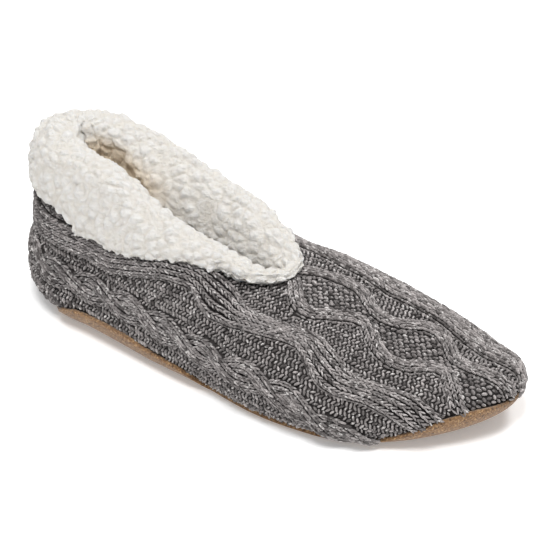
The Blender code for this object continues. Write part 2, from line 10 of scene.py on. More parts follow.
import bmesh
import bpy
import numpy as np
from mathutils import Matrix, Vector


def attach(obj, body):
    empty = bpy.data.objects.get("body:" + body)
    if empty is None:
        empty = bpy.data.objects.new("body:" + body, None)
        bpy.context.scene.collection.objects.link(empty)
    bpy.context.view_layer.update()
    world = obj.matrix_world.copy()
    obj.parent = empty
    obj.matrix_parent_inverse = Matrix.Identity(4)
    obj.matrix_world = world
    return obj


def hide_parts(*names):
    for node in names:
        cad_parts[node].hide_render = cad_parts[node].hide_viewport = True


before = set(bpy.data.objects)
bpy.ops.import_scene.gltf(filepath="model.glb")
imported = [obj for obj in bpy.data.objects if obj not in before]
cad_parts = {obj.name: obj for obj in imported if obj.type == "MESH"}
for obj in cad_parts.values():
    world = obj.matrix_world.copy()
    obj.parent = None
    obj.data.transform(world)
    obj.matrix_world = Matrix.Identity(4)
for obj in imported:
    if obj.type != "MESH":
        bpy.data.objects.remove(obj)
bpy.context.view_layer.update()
rng = np.random.default_rng(11)

# The CAD part's own sizes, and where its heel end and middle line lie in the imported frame
SHIFT = np.array([-0.1265, 0.0034, 0.0])
LENGTH = 0.252
BALL_WIDTH = 0.1004
HEEL_WIDTH = 0.0715
HEEL_CAP = 0.048
TOE_CAP = 0.0685
TOE_POINT = 1.75
HEEL_SWING = 0.0058
MIDDLE_SWING = -0.0040
TOE_SWING = 0.0055
HEEL_SPINE = 0.0400
TOE_SPINE = 0.2220
SPINE_BLEND = 0.0090
BACK_HEIGHT = 0.0770
HEEL_LEAN = 0.0095
LEAN_HEIGHT = 0.0220
THROAT_HEIGHT = 0.0460
TOE_HEIGHT = 0.0240
WIDEST = (0.0155, 0.0120, 0.0110)
TUCK = (0.0160, 0.0095, 0.0120)
TOP_ROUND = (2.2, 3.4, 2.5)
TOE_SPRING = 0.0062
HEEL_SPRING = 0.0045
ARCH_LIFT = 0.0012
WALL_ROUND = 2.4
THROAT_PLACE = 0.140
SIDE_OPENING = 0.019
THROAT_RADIUS = 0.014
KNIT_WALL = 0.0030
SUEDE = 0.0020
GAP = 0.0003
CUFF_GAP = 0.0008
RIM_HEIGHT = 0.0092
RIM_LIP = 0.0034
FLEECE_INSIDE = 0.0080
FLEECE_OUTSIDE = 0.0090
FLEECE_BACK = 0.0110
CREST_RISE = 0.0110
CUFF_DROP = 0.0260
CUFF_TUCK_IN = 0.0260
QUARTER_GIRTH = 0.072

FLARE = {
    "along": [0.0, 0.17, 0.33, 0.43, 0.57, 0.77, 0.92, 1.0],
    "wider": [0.0, 0.105, 0.23, 0.345, 0.49, 0.86, 0.985, 1.0],
}
BACK_SWING = {
    "along": [0.0, 0.18, 0.28, 0.37, 0.42, 0.52, 0.63],
    "swing": [1.0, 0.88, 0.61, 0.34, 0.22, 0.08, 0.0],
}
FRONT_SWING = {
    "along": [0.63, 0.73, 0.80, 0.87, 0.935, 1.0],
    "swing": [0.0, 0.07, 0.21, 0.48, 0.76, 1.0],
}
QUARTER = {
    "along": [0.0, 0.06, 0.29, 0.38, 0.46, 0.59, 0.69, 0.78, 0.89, 0.96, 1.0],
    "rise": [1.0, 0.993, 0.935, 0.865, 0.75, 0.54, 0.41, 0.29, 0.12, 0.026, 0.0],
    "opening": [1.50, 1.36, 1.05, 1.02, 1.0, 0.99, 0.96, 0.89, 0.75, 0.73, 0.72],
}
# The cuff from the heel to the throat: shares of its drop, its thickness outside and inside, and its crest
CUFF = {
    "along": [0.0, 0.12, 0.22, 0.27, 0.32, 0.40, 0.50, 0.60, 0.70, 0.80, 0.90, 0.96, 1.0],
    "near drop": [0.80, 0.78, 0.80, 0.86, 1.07, 0.96, 0.86, 0.66, 0.50, 0.38, 0.27, 0.25, 0.28],
    "far drop": [0.80, 0.85, 0.95, 0.98, 1.0, 0.98, 0.88, 0.68, 0.54, 0.42, 0.30, 0.28, 0.28],
    "near thick": [1.0, 1.0, 1.0, 1.0, 1.0, 1.0, 1.0, 1.0, 1.02, 1.08, 1.0, 0.85, 0.80],
    "far thick": [1.0, 1.0, 1.0, 1.0, 1.05, 1.15, 1.22, 1.25, 1.25, 1.20, 1.10, 0.98, 0.80],
    "near inside": [1.0, 1.0, 1.1, 1.25, 1.4, 1.75, 2.2, 2.35, 2.3, 2.05, 1.55, 1.1, 0.8],
    "far inside": [1.0, 1.0, 1.1, 1.2, 1.3, 1.65, 2.1, 2.25, 2.25, 2.0, 1.55, 1.1, 0.8],
    "near rise": [1.12, 1.10, 1.0, 1.0, 1.0, 1.0, 1.0, 1.0, 1.0, 1.0, 1.0, 1.0, 1.0],
    "far rise": [1.18, 1.20, 1.16, 1.10, 1.02, 0.95, 0.90, 0.90, 0.92, 0.96, 1.0, 1.0, 1.0],
}
# The vamp's ridge from the throat to the toe, and how high the suede's edge is wrapped up round the knit
VAMP = {
    "along": [0.0, 0.12, 0.27, 0.54, 0.76, 0.89, 1.0],
    "height": [1.0, 0.91, 0.75, 0.50, 0.32, 0.17, 0.0],
}
RIM = {
    "along": [0.0, 0.05, 0.10, 0.122, 0.14, 0.163, 0.185, 0.25, 0.30, 0.34, 0.37, 0.45, 0.51, 0.70, 0.80, 0.86,
              0.90, 0.93, 0.96, 1.0],
    "height": [0.0, 0.0, 0.20, 0.50, 1.05, 1.35, 1.62, 1.70, 1.62, 1.40, 1.22, 0.70, 0.0, 0.0, 0.0, 0.45,
               1.05, 1.40, 1.50, 1.0],
}
# The wavy cable band's edges on each side, across the panel from its middle wale
WAVE = {
    "along": [0.0, 0.167, 0.246, 0.298, 0.345, 0.393, 0.437, 0.46, 0.48, 0.50, 0.52, 0.544, 0.575, 0.611,
              0.643, 0.663, 0.687, 0.714, 0.742, 0.766, 0.794, 0.821, 0.849, 0.877, 0.905, 0.937, 1.0],
    "near top": [0.50, 0.50, 0.507, 0.458, 0.41, 0.369, 0.357, 0.361, 0.365, 0.37, 0.381, 0.411, 0.414, 0.389,
                 0.365, 0.35, 0.333, 0.367, 0.414, 0.469, 0.477, 0.458, 0.439, 0.429, 0.443, 0.477, 0.556],
    "near bottom": [0.701, 0.667, 0.675, 0.633, 0.575, 0.532, 0.525, 0.554, 0.606, 0.627, 0.61, 0.589, 0.554,
                    0.528, 0.497, 0.489, 0.528, 0.594, 0.641, 0.647, 0.625, 0.608, 0.607, 0.615, 0.633,
                    0.658, 0.736],
    "far top": [0.50, 0.50, 0.507, 0.458, 0.41, 0.375, 0.375, 0.389, 0.398, 0.408, 0.416, 0.409, 0.38, 0.369,
                0.386, 0.377, 0.361, 0.336, 0.34, 0.332, 0.318, 0.30, 0.257, 0.214, 0.163, 0.102, 0.069],
    "far bottom": [0.701, 0.667, 0.675, 0.633, 0.589, 0.556, 0.569, 0.586, 0.598, 0.601, 0.60, 0.586, 0.564,
                   0.559, 0.569, 0.569, 0.569, 0.562, 0.553, 0.54, 0.521, 0.50, 0.457, 0.414, 0.364,
                   0.303, 0.264],
}
# The two ribs round the diamonds, across the panel: below 0 on the near side
RIBS = {
    "along": [0.56, 0.575, 0.591, 0.607, 0.627, 0.647, 0.667, 0.69, 0.71, 0.73, 0.75, 0.77, 0.79, 0.813, 0.833,
              0.857, 0.877, 0.897, 0.917, 0.933, 0.948, 0.968, 0.992],
    "near": [-0.007, -0.014, -0.061, -0.139, -0.197, -0.197, -0.15, -0.089, -0.044, -0.039, -0.1, -0.172,
             -0.228, -0.255, -0.245, -0.184, -0.138, -0.15, -0.233, -0.304, -0.378, -0.444, -0.5],
    "far": [0.083, 0.117, 0.158, 0.196, 0.232, 0.249, 0.245, 0.206, 0.145, 0.1, 0.085, 0.095, 0.142, 0.199,
            0.195, 0.139, 0.068, 0.01, -0.027, -0.047, -0.054, -0.061, -0.067],
}
# The middle of the rope cable near the sole, across the panel
ROPE = {
    "along": [0.0, 0.167, 0.234, 0.294, 0.361, 0.433, 0.48, 0.556, 0.623, 0.683, 0.714, 0.794, 1.0],
    "across": [0.854, 0.853, 0.849, 0.833, 0.825, 0.833, 0.847, 0.811, 0.783, 0.797, 0.822, 0.861, 0.917],
}
# The knit's main soft creases: place along and signed across, turn from the length, half length
# and half width, and rise, below 0 for a trough
CREASES = (
    (0.008, 0.036, 0.0, 0.030, 0.020, 0.0014),
    (0.008, -0.036, 0.0, 0.030, 0.020, 0.0016),
    (0.060, -0.055, -8.0, 0.030, 0.004, -0.0007),
    (0.128, -0.063, 4.0, 0.040, 0.008, 0.0012),
    (0.100, -0.050, 6.0, 0.022, 0.0035, -0.0006),
    (0.172, -0.052, 10.0, 0.030, 0.005, -0.0007),
    (0.150, -0.024, 28.0, 0.014, 0.005, -0.0006),
    (0.205, -0.028, 12.0, 0.022, 0.006, -0.0005),
    (0.160, 0.034, 4.0, 0.030, 0.008, 0.0012),
    (0.200, 0.028, -6.0, 0.026, 0.007, 0.0012),
    (0.150, 0.018, -14.0, 0.016, 0.004, -0.0008),
    (0.090, 0.058, 0.0, 0.040, 0.006, -0.0006),
)

# Raised bands and the ground between them. A groove is the share of its band's height that is left in it
WAVE_RISE = 0.0026
WAVE_CORDS = 5
WAVE_GROOVE = 0.25
WAVE_LEG = 0.19
WAVE_MARGIN = 0.0004
CORD_GROOVE = 0.72
RIB_RISE = 0.0021
RIB_HALF = 0.0036
RIB_CORD = 0.0023
RIB_MARGIN = 0.0003
RIBS_FROM = 0.556
RIBS_TO = 0.992
ROPE_HALF = 0.0036
ROPE_SWING = 0.0037
ROPE_TURN = 0.0245
ROPE_CORD = 0.0024
ROPE_RISE = 0.0017
ROPE_OVER = 0.0012
GROUND_SINK = -0.0006
GROUND_SHARE = 0.85
RIM_MARGIN = 0.0004
UNDER_CUFF = 0.004

# Yarn grains: length, width and height, how they are spaced and turned, and how pale they are, darker at the
# heel as painted shade
COURSE = 0.0024
STITCH = (0.0036, 0.00115, 0.0015)
WAVE_STITCH = (0.0036, 0.00092, 0.0015)
EDGE_STITCH = (0.0030, 0.0010, 0.0013)
PURL_STITCH = (0.0025, 0.0011, 0.0017)
SEED_STITCH = (0.0026, 0.0014, 0.0019)
WALE = 0.0019
VAMP_WALE = 0.00185
HEEL_WALE_PITCH = 0.0024
HEEL_WALES = 0.056
PURL_PITCH = 0.0021
PURL_STEP = 0.0020
PURL_TURN = 58.0
SEED_STEP = 0.0029
SEED_TURN = 25.0
SIZE_SPREAD = 0.07
TONE_SPREAD = 0.26
TONE_DROP = 0.04
HEEL_PAINTED_SHADE = 0.16
EDGE_TONE = 0.35

# How finely the form's tables and the pieces are cut
SPOKES = 420
PROFILE_SAMPLES = 72
UNDER_SAMPLES = 14
GIRTH_STEP = 0.0006
STATION_STEP = 0.0011
PANEL_STEP = 0.0006
BALL = 0.152
GROUND_LANES = 110
CUFF_STATIONS = 290
CUFF_COLUMNS = 128
CUFF_BACK = 14
WELD = 0.00002

# The fleece's curls, from the largest: size, seed, share of the warp, rise in mm with its power, and how dark
# the painted shade in the crease round a curl is, with its power. Slack is how far the fleece is drawn in under
# them, in mm
CURLS = (
    (0.0105, 7, 1.0, 1.3, 2.0, 0.5, 8.0),
    (0.0058, 3, -1.0, 1.5, 2.5, 0.8, 7.0),
    (0.0027, 5, 0.0, 0.55, 2.0, 0.3, 5.0),
)
CURL_WARP = 0.0005
CUFF_SLACK = 3.6
LEG_SWELL = 1.4
HASH = (73856093, 19349663, 83492791, 2654435761)

# The cuff's section: the flap outside from its hem up and the leg inside down, each as a share of its drop and
# of its thickness, and the crest between them, in degrees. The crest's inner half is squarer than a circle
FLAP_SECTION = ((1.0, 0.80), (0.80, 1.0), (0.6, 1.06), (0.3, 1.04), (0.0, 1.0))
CREST_TURNS = (30.0, 60.0, 90.0, 120.0, 150.0)
CREST_SQUARE = 0.7
LEG_SECTION = ((0.0, 0.05), (0.3, 0.5), (0.65, 0.85), (1.0, 0.4))

# The lining: how far inside the knit it lies, its thickness, and how far below the collar it starts
LINING_DEPTH = 0.0042
LINING_WALL = 0.0008
LINING_START = 0.008

# The insole's section from its middle underneath round to its middle on top: share of the way in, and height.
# Above the plug it is wider, so it starts at a share of the upper's tuck
INSOLE_GAP = 0.0008
INSOLE_WIDER = 0.72
PLUG_HEIGHT = 0.005
INSOLE_SECTION = (
    (1.0, 0.0024), (0.5, 0.0024), (0.0, 0.0024), (0.0, 0.0058), (-0.03, 0.008), (0.0, 0.0098), (0.06, 0.0106),
    (0.3, 0.0112), (0.65, 0.0116), (1.0, 0.0118),
)

# The photo's camera: turn towards the toe and rise in degrees, distance, what it looks at, and its frame
CAMERA_TURN = 32.0
CAMERA_RISE = 30.0
CAMERA_DISTANCE = 1.158
CAMERA_AIM = (0.0028, 0.0034, 0.02895)
FRAME_PIXELS = 550.0
FOCAL_PIXELS = 2580.0
SHIFT_PIXELS = (9.0, 23.0)

# The studio's soft lights: name, place, size and power. The world and the floor's own glow fill the shadows
LIGHTS = (("key", (0.15, -0.6, 1.5), 0.6, 19.0), ("back", (0.3, 1.0, 1.4), 0.5, 14.0))
WORLD_LIGHT = 0.46
FLOOR_GLOW = 0.22


def smooth_step(low, high, value):
    share = np.clip((value - low) / (high - low), 0.0, 1.0)
    return share * share * (3.0 - 2.0 * share)


def read_table(table, column, along):
    """A smooth curve through a table's column that never overshoots its rows."""
    x = np.array(table["along"])
    y = np.array(table[column])
    step = np.diff(x)
    slope = np.diff(y) / step
    inner = np.zeros(len(x))
    same_way = slope[:-1] * slope[1:] > 0.0
    before = 2.0 * step[1:] + step[:-1]
    after = step[1:] + 2.0 * step[:-1]
    safe = np.where(same_way, slope[:-1] * slope[1:], 1.0)
    mean = (before + after) * safe / np.where(same_way, before * slope[1:] + after * slope[:-1], 1.0)
    inner[1:-1] = np.where(same_way, mean, 0.0)
    inner[0] = slope[0]
    inner[-1] = slope[-1]
    along = np.clip(along, x[0], x[-1])
    k = np.clip(np.searchsorted(x, along, side="right") - 1, 0, len(step) - 1)
    t = (along - x[k]) / step[k]
    rise = y[k] * (1 - t) ** 2 * (1 + 2 * t) + y[k + 1] * t ** 2 * (3 - 2 * t)
    return rise + step[k] * t * (1 - t) * (inner[k] * (1 - t) - inner[k + 1] * t)


def by_region(x, sizes):
    """A size that has its own value at the heel, the middle and the toe."""
    heel, middle, toe = sizes
    share = x / LENGTH
    behind = 1.0 - smooth_step(0.15, 0.45, share)
    ahead = smooth_step(0.60, 0.88, share)
    return middle + (heel - middle) * behind + (toe - middle) * ahead


def floor_lift(x):
    """How far the underside is off the floor: heel and toe spring, and a low arch."""
    share = x / LENGTH
    toe = TOE_SPRING * np.clip((share - 0.76) / 0.24, 0.0, None) ** 2
    heel = HEEL_SPRING * np.clip((0.11 - share) / 0.11, 0.0, None) ** 2
    arch = ARCH_LIFT * np.sin(math.pi * np.clip((share - 0.34) / 0.20, 0.0, 1.0)) ** 2
    return toe + heel + arch


def half_width(x):
    toe_start = LENGTH - TOE_CAP
    middle = np.clip((x - HEEL_CAP) / (toe_start - HEEL_CAP), 0.0, 1.0)
    width = (HEEL_WIDTH + (BALL_WIDTH - HEEL_WIDTH) * read_table(FLARE, "wider", middle)) / 2
    back = np.clip((HEEL_CAP - x) / HEEL_CAP, 0.0, 1.0)
    front = np.clip((x - toe_start) / TOE_CAP, 0.0, 1.0)
    heel_shape = np.sqrt(np.clip(1.0 - back ** 2, 0.0, 1.0))
    return width * heel_shape * np.clip(1.0 - front ** TOE_POINT, 0.0, 1.0) ** (1.0 / TOE_POINT)


def middle_line(x):
    back = read_table(BACK_SWING, "swing", x / LENGTH)
    front = read_table(FRONT_SWING, "swing", x / LENGTH)
    return MIDDLE_SWING + (HEEL_SWING - MIDDLE_SWING) * back + (TOE_SWING - MIDDLE_SWING) * front


def spine_x(x):
    """The spine's place for an outline place: equal to it, but held off the heel and toe ends."""
    held = HEEL_SPINE + SPINE_BLEND * np.log1p(np.exp((x - HEEL_SPINE) / SPINE_BLEND))
    return TOE_SPINE - SPINE_BLEND * np.log1p(np.exp((TOE_SPINE - held) / SPINE_BLEND))


def collar_half_opening(x):
    side = SIDE_OPENING * read_table(QUARTER, "opening", x / THROAT_PLACE)
    ahead = np.clip((x - (THROAT_PLACE - THROAT_RADIUS)) / THROAT_RADIUS, 0.0, 1.0)
    return side * np.sqrt(1.0 - ahead ** 2)


def top_height(x):
    """The height above the floor of the collar edge or, past the throat, of the vamp ridge."""
    quarter = THROAT_HEIGHT + (BACK_HEIGHT - THROAT_HEIGHT) * read_table(QUARTER, "rise", x / THROAT_PLACE)
    along = (x - THROAT_PLACE) / (TOE_SPINE - THROAT_PLACE)
    vamp = TOE_HEIGHT + (THROAT_HEIGHT - TOE_HEIGHT) * read_table(VAMP, "height", along)
    return np.where(x < THROAT_PLACE, quarter, vamp)


def unit(vectors):
    return vectors / np.maximum(np.linalg.norm(vectors, axis=-1, keepdims=True), 1e-12)


def table_normals(grid, side):
    """Outward unit normals of a table of points whose rows go to the toe and columns down the wall."""
    along, down = np.gradient(grid, axis=0), np.gradient(grid, axis=1)
    return unit(side * np.cross(along, down))


def sample(grid, row, column):
    """The table's value between its rows and columns."""
    row = np.clip(row, 0.0, grid.shape[0] - 1.001)
    column = np.clip(column, 0.0, grid.shape[1] - 1.001)
    i, j = row.astype(int), column.astype(int)
    s, t = (row - i)[..., None], (column - j)[..., None]
    above = grid[i, j] * (1 - t) + grid[i, j + 1] * t
    below = grid[i + 1, j] * (1 - t) + grid[i + 1, j + 1] * t
    return above * (1 - s) + below * s


def along_line(points, ways, at):
    """Points of a line at given ways along it."""
    return np.stack([np.interp(at, ways, points[:, axis]) for axis in range(3)], -1)


def lengths(points):
    steps = np.linalg.norm(np.diff(points, axis=0), axis=-1)
    return np.concatenate([[0.0], np.cumsum(steps)])


def crossing(a, b, x0):
    return a + (b - a) * (x0 - a[0]) / (b[0] - a[0])


class Side:
    """One side of the form as tables: rows go from heel to toe, columns from the ridge down and under.

    points and girths hold the spokes, and grid holds them again at even steps of girth.
    """

    def __init__(self, side):
        self.side = side
        self.x = LENGTH * (1.0 - np.cos(np.linspace(0.0, math.pi, SPOKES))) / 2
        x = self.x
        outline = np.stack([x, middle_line(x) + side * half_width(x)], -1)
        inner = spine_x(x)
        spine = np.stack([inner, middle_line(inner)], -1)
        reach = np.linalg.norm(spine - outline, axis=-1)
        inwards = (spine - outline) / reach[:, None]
        widest = by_region(x, WIDEST)
        lean = HEEL_LEAN * (1.0 - smooth_step(0.06, 0.55, x / LENGTH))
        opening = np.where(x < THROAT_PLACE, collar_half_opening(np.minimum(x, THROAT_PLACE)), 0.0)
        top_turn = np.arccos(np.minimum(opening / (reach - lean), 1.0) ** (WALL_ROUND / 2))
        height = np.where(x >= THROAT_PLACE, top_height(inner), top_height(x)) - floor_lift(inner) - widest
        turn = np.linspace(math.pi / 2, 0.0, PROFILE_SAMPLES)
        rounding = (2 / by_region(x, TOP_ROUND))[:, None]
        climb = height[:, None] * (np.sin(turn) / np.sin(top_turn)[:, None]) ** rounding
        depth = (reach - lean)[:, None] * (1.0 - np.cos(turn) ** (2 / WALL_ROUND))
        depth = depth + lean[:, None] * (1.0 - np.exp(-climb / LEAN_HEIGHT))
        below = np.linspace(0.0, math.pi / 2, UNDER_SAMPLES + 1)[1:]
        drop = widest - SUEDE - GAP
        depth = np.concatenate([depth, by_region(x, TUCK)[:, None] * (1.0 - np.cos(below))], 1)
        level = np.concatenate([widest[:, None] + climb, widest[:, None] - drop[:, None] * np.sin(below)], 1)
        flat = outline[:, None, :] + inwards[:, None, :] * depth[..., None]
        self.points = np.concatenate([flat, (level + floor_lift(flat[..., 0]))[..., None]], -1)
        steps = np.linalg.norm(np.diff(self.points, axis=1), axis=-1)
        self.girths = np.concatenate([np.zeros((SPOKES, 1)), np.cumsum(steps, 1)], 1)
        self.edge = np.array([np.interp(-a, -turn, g[:PROFILE_SAMPLES]) for a, g in zip(top_turn, self.girths)])
        ends = np.linalg.norm(np.diff(outline, axis=0), axis=-1)
        self.arc = np.concatenate([[0.0], np.cumsum(ends)])
        columns = np.arange(0.0, self.girths[:, -1].max(), GIRTH_STEP)
        self.grid = np.array([along_line(p, g, columns) for p, g in zip(self.points, self.girths)])
        self.normals = table_normals(self.grid, side)

    def wall(self, x, girth, out):
        """Points of the wall at places along the outline and girths down from the ridge, moved outwards."""
        row = np.interp(x, self.x, np.arange(SPOKES))
        column = girth / GIRTH_STEP
        return sample(self.grid, row, column) + out[..., None] * sample(self.normals, row, column)

    def section(self, x0):
        """The cut across at one place ahead of the ball: points from the ridge or toe line round and under."""
        rows = [[x0, np.interp(x0, line[:, 0], line[:, 1]), np.interp(x0, line[:, 0], line[:, 2])]
                for line in self.points.transpose(1, 0, 2) if line[-1, 0] >= x0]
        reached = self.points[-1, :, 0] >= x0
        first, last = int(np.argmax(reached)), len(reached) - 1 - int(np.argmax(reached[::-1]))
        if first > 0:
            rows.insert(0, crossing(self.points[-1, first - 1], self.points[-1, first], x0))
        if last < len(reached) - 1:
            rows.append(crossing(self.points[-1, last], self.points[-1, last + 1], x0))
        return np.array(rows)


class Panel:
    """One side's knitted panel: rows are stations from heel to toe, columns even steps across the knit.

    The stations are spokes behind the ball and cross sections ahead of it. top and end say where, across
    the panel, the knit starts and ends.
    """

    def __init__(self, side):
        self.side = side.side
        rear = np.interp(np.arange(0.0, np.interp(BALL, side.x, side.arc), STATION_STEP), side.arc, side.x)
        tip = side.points[-1, :PROFILE_SAMPLES]
        front = list(np.arange(BALL, tip[0, 0], STATION_STEP))
        ways = lengths(tip)
        steps = np.arange(STATION_STEP - (tip[0, 0] - front[-1]), ways[-1], STATION_STEP)
        front += list(np.interp(steps, ways, tip[:, 0])) + [LENGTH - 0.0002]
        self.x = np.array(list(rear) + front)
        self.arc = np.interp(self.x, side.x, side.arc)
        lines, top, end = [], [], []
        for x0 in self.x:
            if x0 < BALL:
                row = np.interp(x0, side.x, np.arange(SPOKES))
                low = min(int(row), SPOKES - 2)
                points = side.points[low] * (1 - row + low) + side.points[low + 1] * (row - low)
                ways = lengths(points)
                panel = QUARTER_GIRTH - ways[PROFILE_SAMPLES - 1] + ways
                across = panel + (ways - panel) * float(smooth_step(0.118, BALL, x0))
                top.append(np.interp(np.interp(x0, side.x, side.edge), ways, across))
            else:
                points = side.section(x0)
                across = lengths(points)
                top.append(0.0)
            lines.append((points, across))
            end.append(across[-1])
        self.top, self.end = np.array(top), np.array(end)
        columns = np.arange(0.0, self.end.max() + PANEL_STEP, PANEL_STEP)
        self.grid = np.array([along_line(points, across, columns) for points, across in lines])


NEAR, FAR = Side(-1), Side(1)
NEAR_PANEL, FAR_PANEL = Panel(NEAR), Panel(FAR)


def on_knit(x, across):
    """Points of the knit and unit directions out of it, at signed distances across: near is below 0."""
    point = np.zeros(x.shape + (3,))
    out = np.zeros(x.shape + (3,))
    for panel in (NEAR_PANEL, FAR_PANEL):
        use = (across < 0) == (panel.side < 0)
        row = np.interp(x[use], panel.x, np.arange(len(panel.x)))
        lane = np.abs(across[use]) / PANEL_STEP
        point[use] = sample(panel.grid, row, lane)
        along = sample(panel.grid, row + 0.8, lane) - sample(panel.grid, row - 0.8, lane)
        down = sample(panel.grid, row, lane + 1.5) - sample(panel.grid, row, lane - 1.5)
        out[use] = unit(panel.side * np.cross(along, down))
    return point, out


def pick(across, near, far):
    """A table's value for the side that each place is on."""
    return np.where(across < 0, near, far)


def wave_edges(x, across):
    edges = []
    for edge in ("top", "bottom"):
        both = [read_table(WAVE, side + edge, x / LENGTH) for side in ("near ", "far ")]
        edges.append(QUARTER_GIRTH * pick(across, *both))
    return edges


def rib_offsets(x, across):
    """How far each place lies from the two ribs round the diamonds, along the panel."""
    return [across - QUARTER_GIRTH * read_table(RIBS, rib, x / LENGTH) for rib in ("near", "far")]


def corded(offset, half, cord):
    """The section of a round raised band with cords along it, 1 at the most and 0 past its edges."""
    grooves = CORD_GROOVE + (1.0 - CORD_GROOVE) * np.abs(np.cos(math.pi * offset / cord))
    return grooves * np.sqrt(np.clip(1.0 - (offset / half) ** 2, 0.0, 1.0))


def rope_way(x, across):
    """How far the rope cable's strands have turned round each other, as an angle."""
    near, far = (np.interp(x, panel.x, panel.arc) for panel in (NEAR_PANEL, FAR_PANEL))
    return math.pi * pick(across, near, far) / ROPE_TURN


def rope_centre(x, way, which):
    """The middle of one of the rope cable's strands, across the panel."""
    return QUARTER_GIRTH * read_table(ROPE, "across", x / LENGTH) - which * ROPE_SWING * np.cos(way)


def rope_strand(x, across, which):
    """How high one strand of the rope cable stands at each place. The two strands take turns on top."""
    way = rope_way(x, across)
    high = ROPE_RISE + which * ROPE_OVER * np.sin(way)
    return high * corded(np.abs(across) - rope_centre(x, way, which), ROPE_HALF, ROPE_CORD)


def creases(x, across):
    total = np.zeros(x.shape)
    for x0, s0, turn, long, wide, rise in CREASES:
        c, s = math.cos(math.radians(turn)), math.sin(math.radians(turn))
        u = ((x - x0) * c + (across - s0) * s) / long
        v = ((across - s0) * c - (x - x0) * s) / wide
        total += rise * np.exp(-u * u - v * v)
    return total


def relief(x, across):
    """The height of the knit's cables and ribs over its plain ground, with the soft creases."""
    top, bottom = wave_edges(x, across)
    away = np.abs(across)
    share = np.clip((away - top) / (bottom - top), 0.0, 1.0)
    inside = smooth_step(-0.0002, 0.0012, np.minimum(away - top, bottom - away))
    cords = np.abs(np.sin(WAVE_CORDS * math.pi * share)) ** 0.6
    height = WAVE_RISE * inside * (WAVE_GROOVE + (1.0 - WAVE_GROOVE) * cords)
    for offset in rib_offsets(x, across):
        rib = RIB_RISE * corded(offset, RIB_HALF, RIB_CORD)
        height = np.maximum(height, rib * (x > RIBS_FROM * LENGTH))
    for which in (1.0, -1.0):
        height = np.maximum(height, rope_strand(x, across, which))
    return height + creases(x, across)


def cuff_share(column, x, side):
    return read_table(CUFF, ("near " if side < 0 else "far ") + column, x / THROAT_PLACE)


def covered(x, across):
    """How far each place lies under the cuff, from its hem."""
    cover = np.zeros(x.shape)
    for panel in (NEAR_PANEL, FAR_PANEL):
        use = (across < 0) == (panel.side < 0)
        x0, away = x[use], np.abs(across[use])
        drop = CUFF_DROP * cuff_share("drop", x0, panel.side)
        ahead = x0 - (THROAT_PLACE - THROAT_RADIUS)
        beside = np.interp(x0, panel.x, panel.top) + drop - away
        cover[use] = np.where(ahead < 0, beside, THROAT_RADIUS + drop - np.hypot(ahead, away))
    return cover


def rim_height(x):
    return RIM_LIP + (RIM_HEIGHT - RIM_LIP) * read_table(RIM, "height", x / LENGTH)


def shown(x, across):
    """Which stitches aren't hidden under the cuff or the suede."""
    point = on_knit(x, across)[0]
    above_rim = point[..., 2] - floor_lift(point[..., 0]) > rim_height(x) + RIM_MARGIN
    return (covered(x, across) < UNDER_CUFF) & above_rim


class Stitches:
    """Yarn grains gathered for one joined piece: centres, frames, sizes and tones."""

    def __init__(self, name):
        self.name = name
        self.centres, self.frames, self.sizes, self.tones = [], [], [], []

    def lay(self, line, offset, turn, size, keep=None, lift=0.0002, tone=0.5, spread=5.0):
        """Lays a grain at each place of a line, moved sideways and turned from the line's way."""
        x, across, way = line
        beside = across + offset
        kept = shown(x, beside)
        if keep is not None:
            kept &= keep(x, beside)
        x, across, way, beside = x[kept], across[kept], way[kept], beside[kept]
        point, out = on_knit(x, across)
        way = unit(way - out * (way * out).sum(-1, keepdims=True))
        side = np.cross(out, way)
        count = len(x)
        angle = np.radians(turn + rng.normal(0.0, spread, count))[:, None]
        long = np.cos(angle) * way + np.sin(angle) * side
        height = relief(x, beside) + lift + rng.normal(0.0, 0.00002 * spread, count)
        self.centres.append(point + side * offset + out * height[:, None])
        self.frames.append(np.stack([long, np.cross(out, long), out], 1))
        self.sizes.append(np.array(size) * (1.0 + rng.normal(0.0, SIZE_SPREAD, (count, 1))))
        # Painted shade: stitches near the heel are made darker
        tone = tone - TONE_DROP - HEEL_PAINTED_SHADE * smooth_step(0.075, 0.015, x)
        self.tones.append(np.clip(tone + rng.normal(0.0, TONE_SPREAD, count), 0.0, 1.0))

    def wale(self, line, offset, width, keep=None, slant=15.0, tone=0.5):
        """Lays a column of knit stitches, each of two slanting legs."""
        size = (STITCH[0], min(STITCH[1], 0.50 * width), STITCH[2])
        self.lay(line, offset - width / 4, -slant, size, keep, tone=tone)
        self.lay(line, offset + width / 4, slant, size, keep, tone=tone)

    def join(self, template, material):
        """Makes the grains one mesh, each in its own cell of the texture."""
        corners, faces, uvs = template
        centres, frames = np.concatenate(self.centres), np.concatenate(self.frames)
        sizes, tones = np.concatenate(self.sizes), np.concatenate(self.tones)
        count = len(centres)
        places = centres[:, None] + np.einsum("vk,nk,nkd->nvd", corners, sizes, frames) + SHIFT
        mesh = bpy.data.meshes.new(self.name)
        joined = faces[None] + (np.arange(count) * len(corners))[:, None, None]
        mesh.from_pydata(places.reshape(-1, 3).tolist(), [], joined.reshape(-1, 3).tolist())
        cells = math.ceil(math.sqrt(count))
        cell = np.stack([np.arange(count) % cells, np.arange(count) // cells], -1)
        packed = (cell[:, None, None] + 0.08 + 0.84 * uvs[None]) / cells
        mesh.uv_layers.new(name="OFBake").data.foreach_set("uv", packed.ravel())
        mesh.attributes.new("tone", "FLOAT", "POINT").data.foreach_set("value", np.repeat(tones, len(corners)))
        add_piece(mesh, material)
        print(self.name, count, "stitches,", count * len(faces), "triangles")


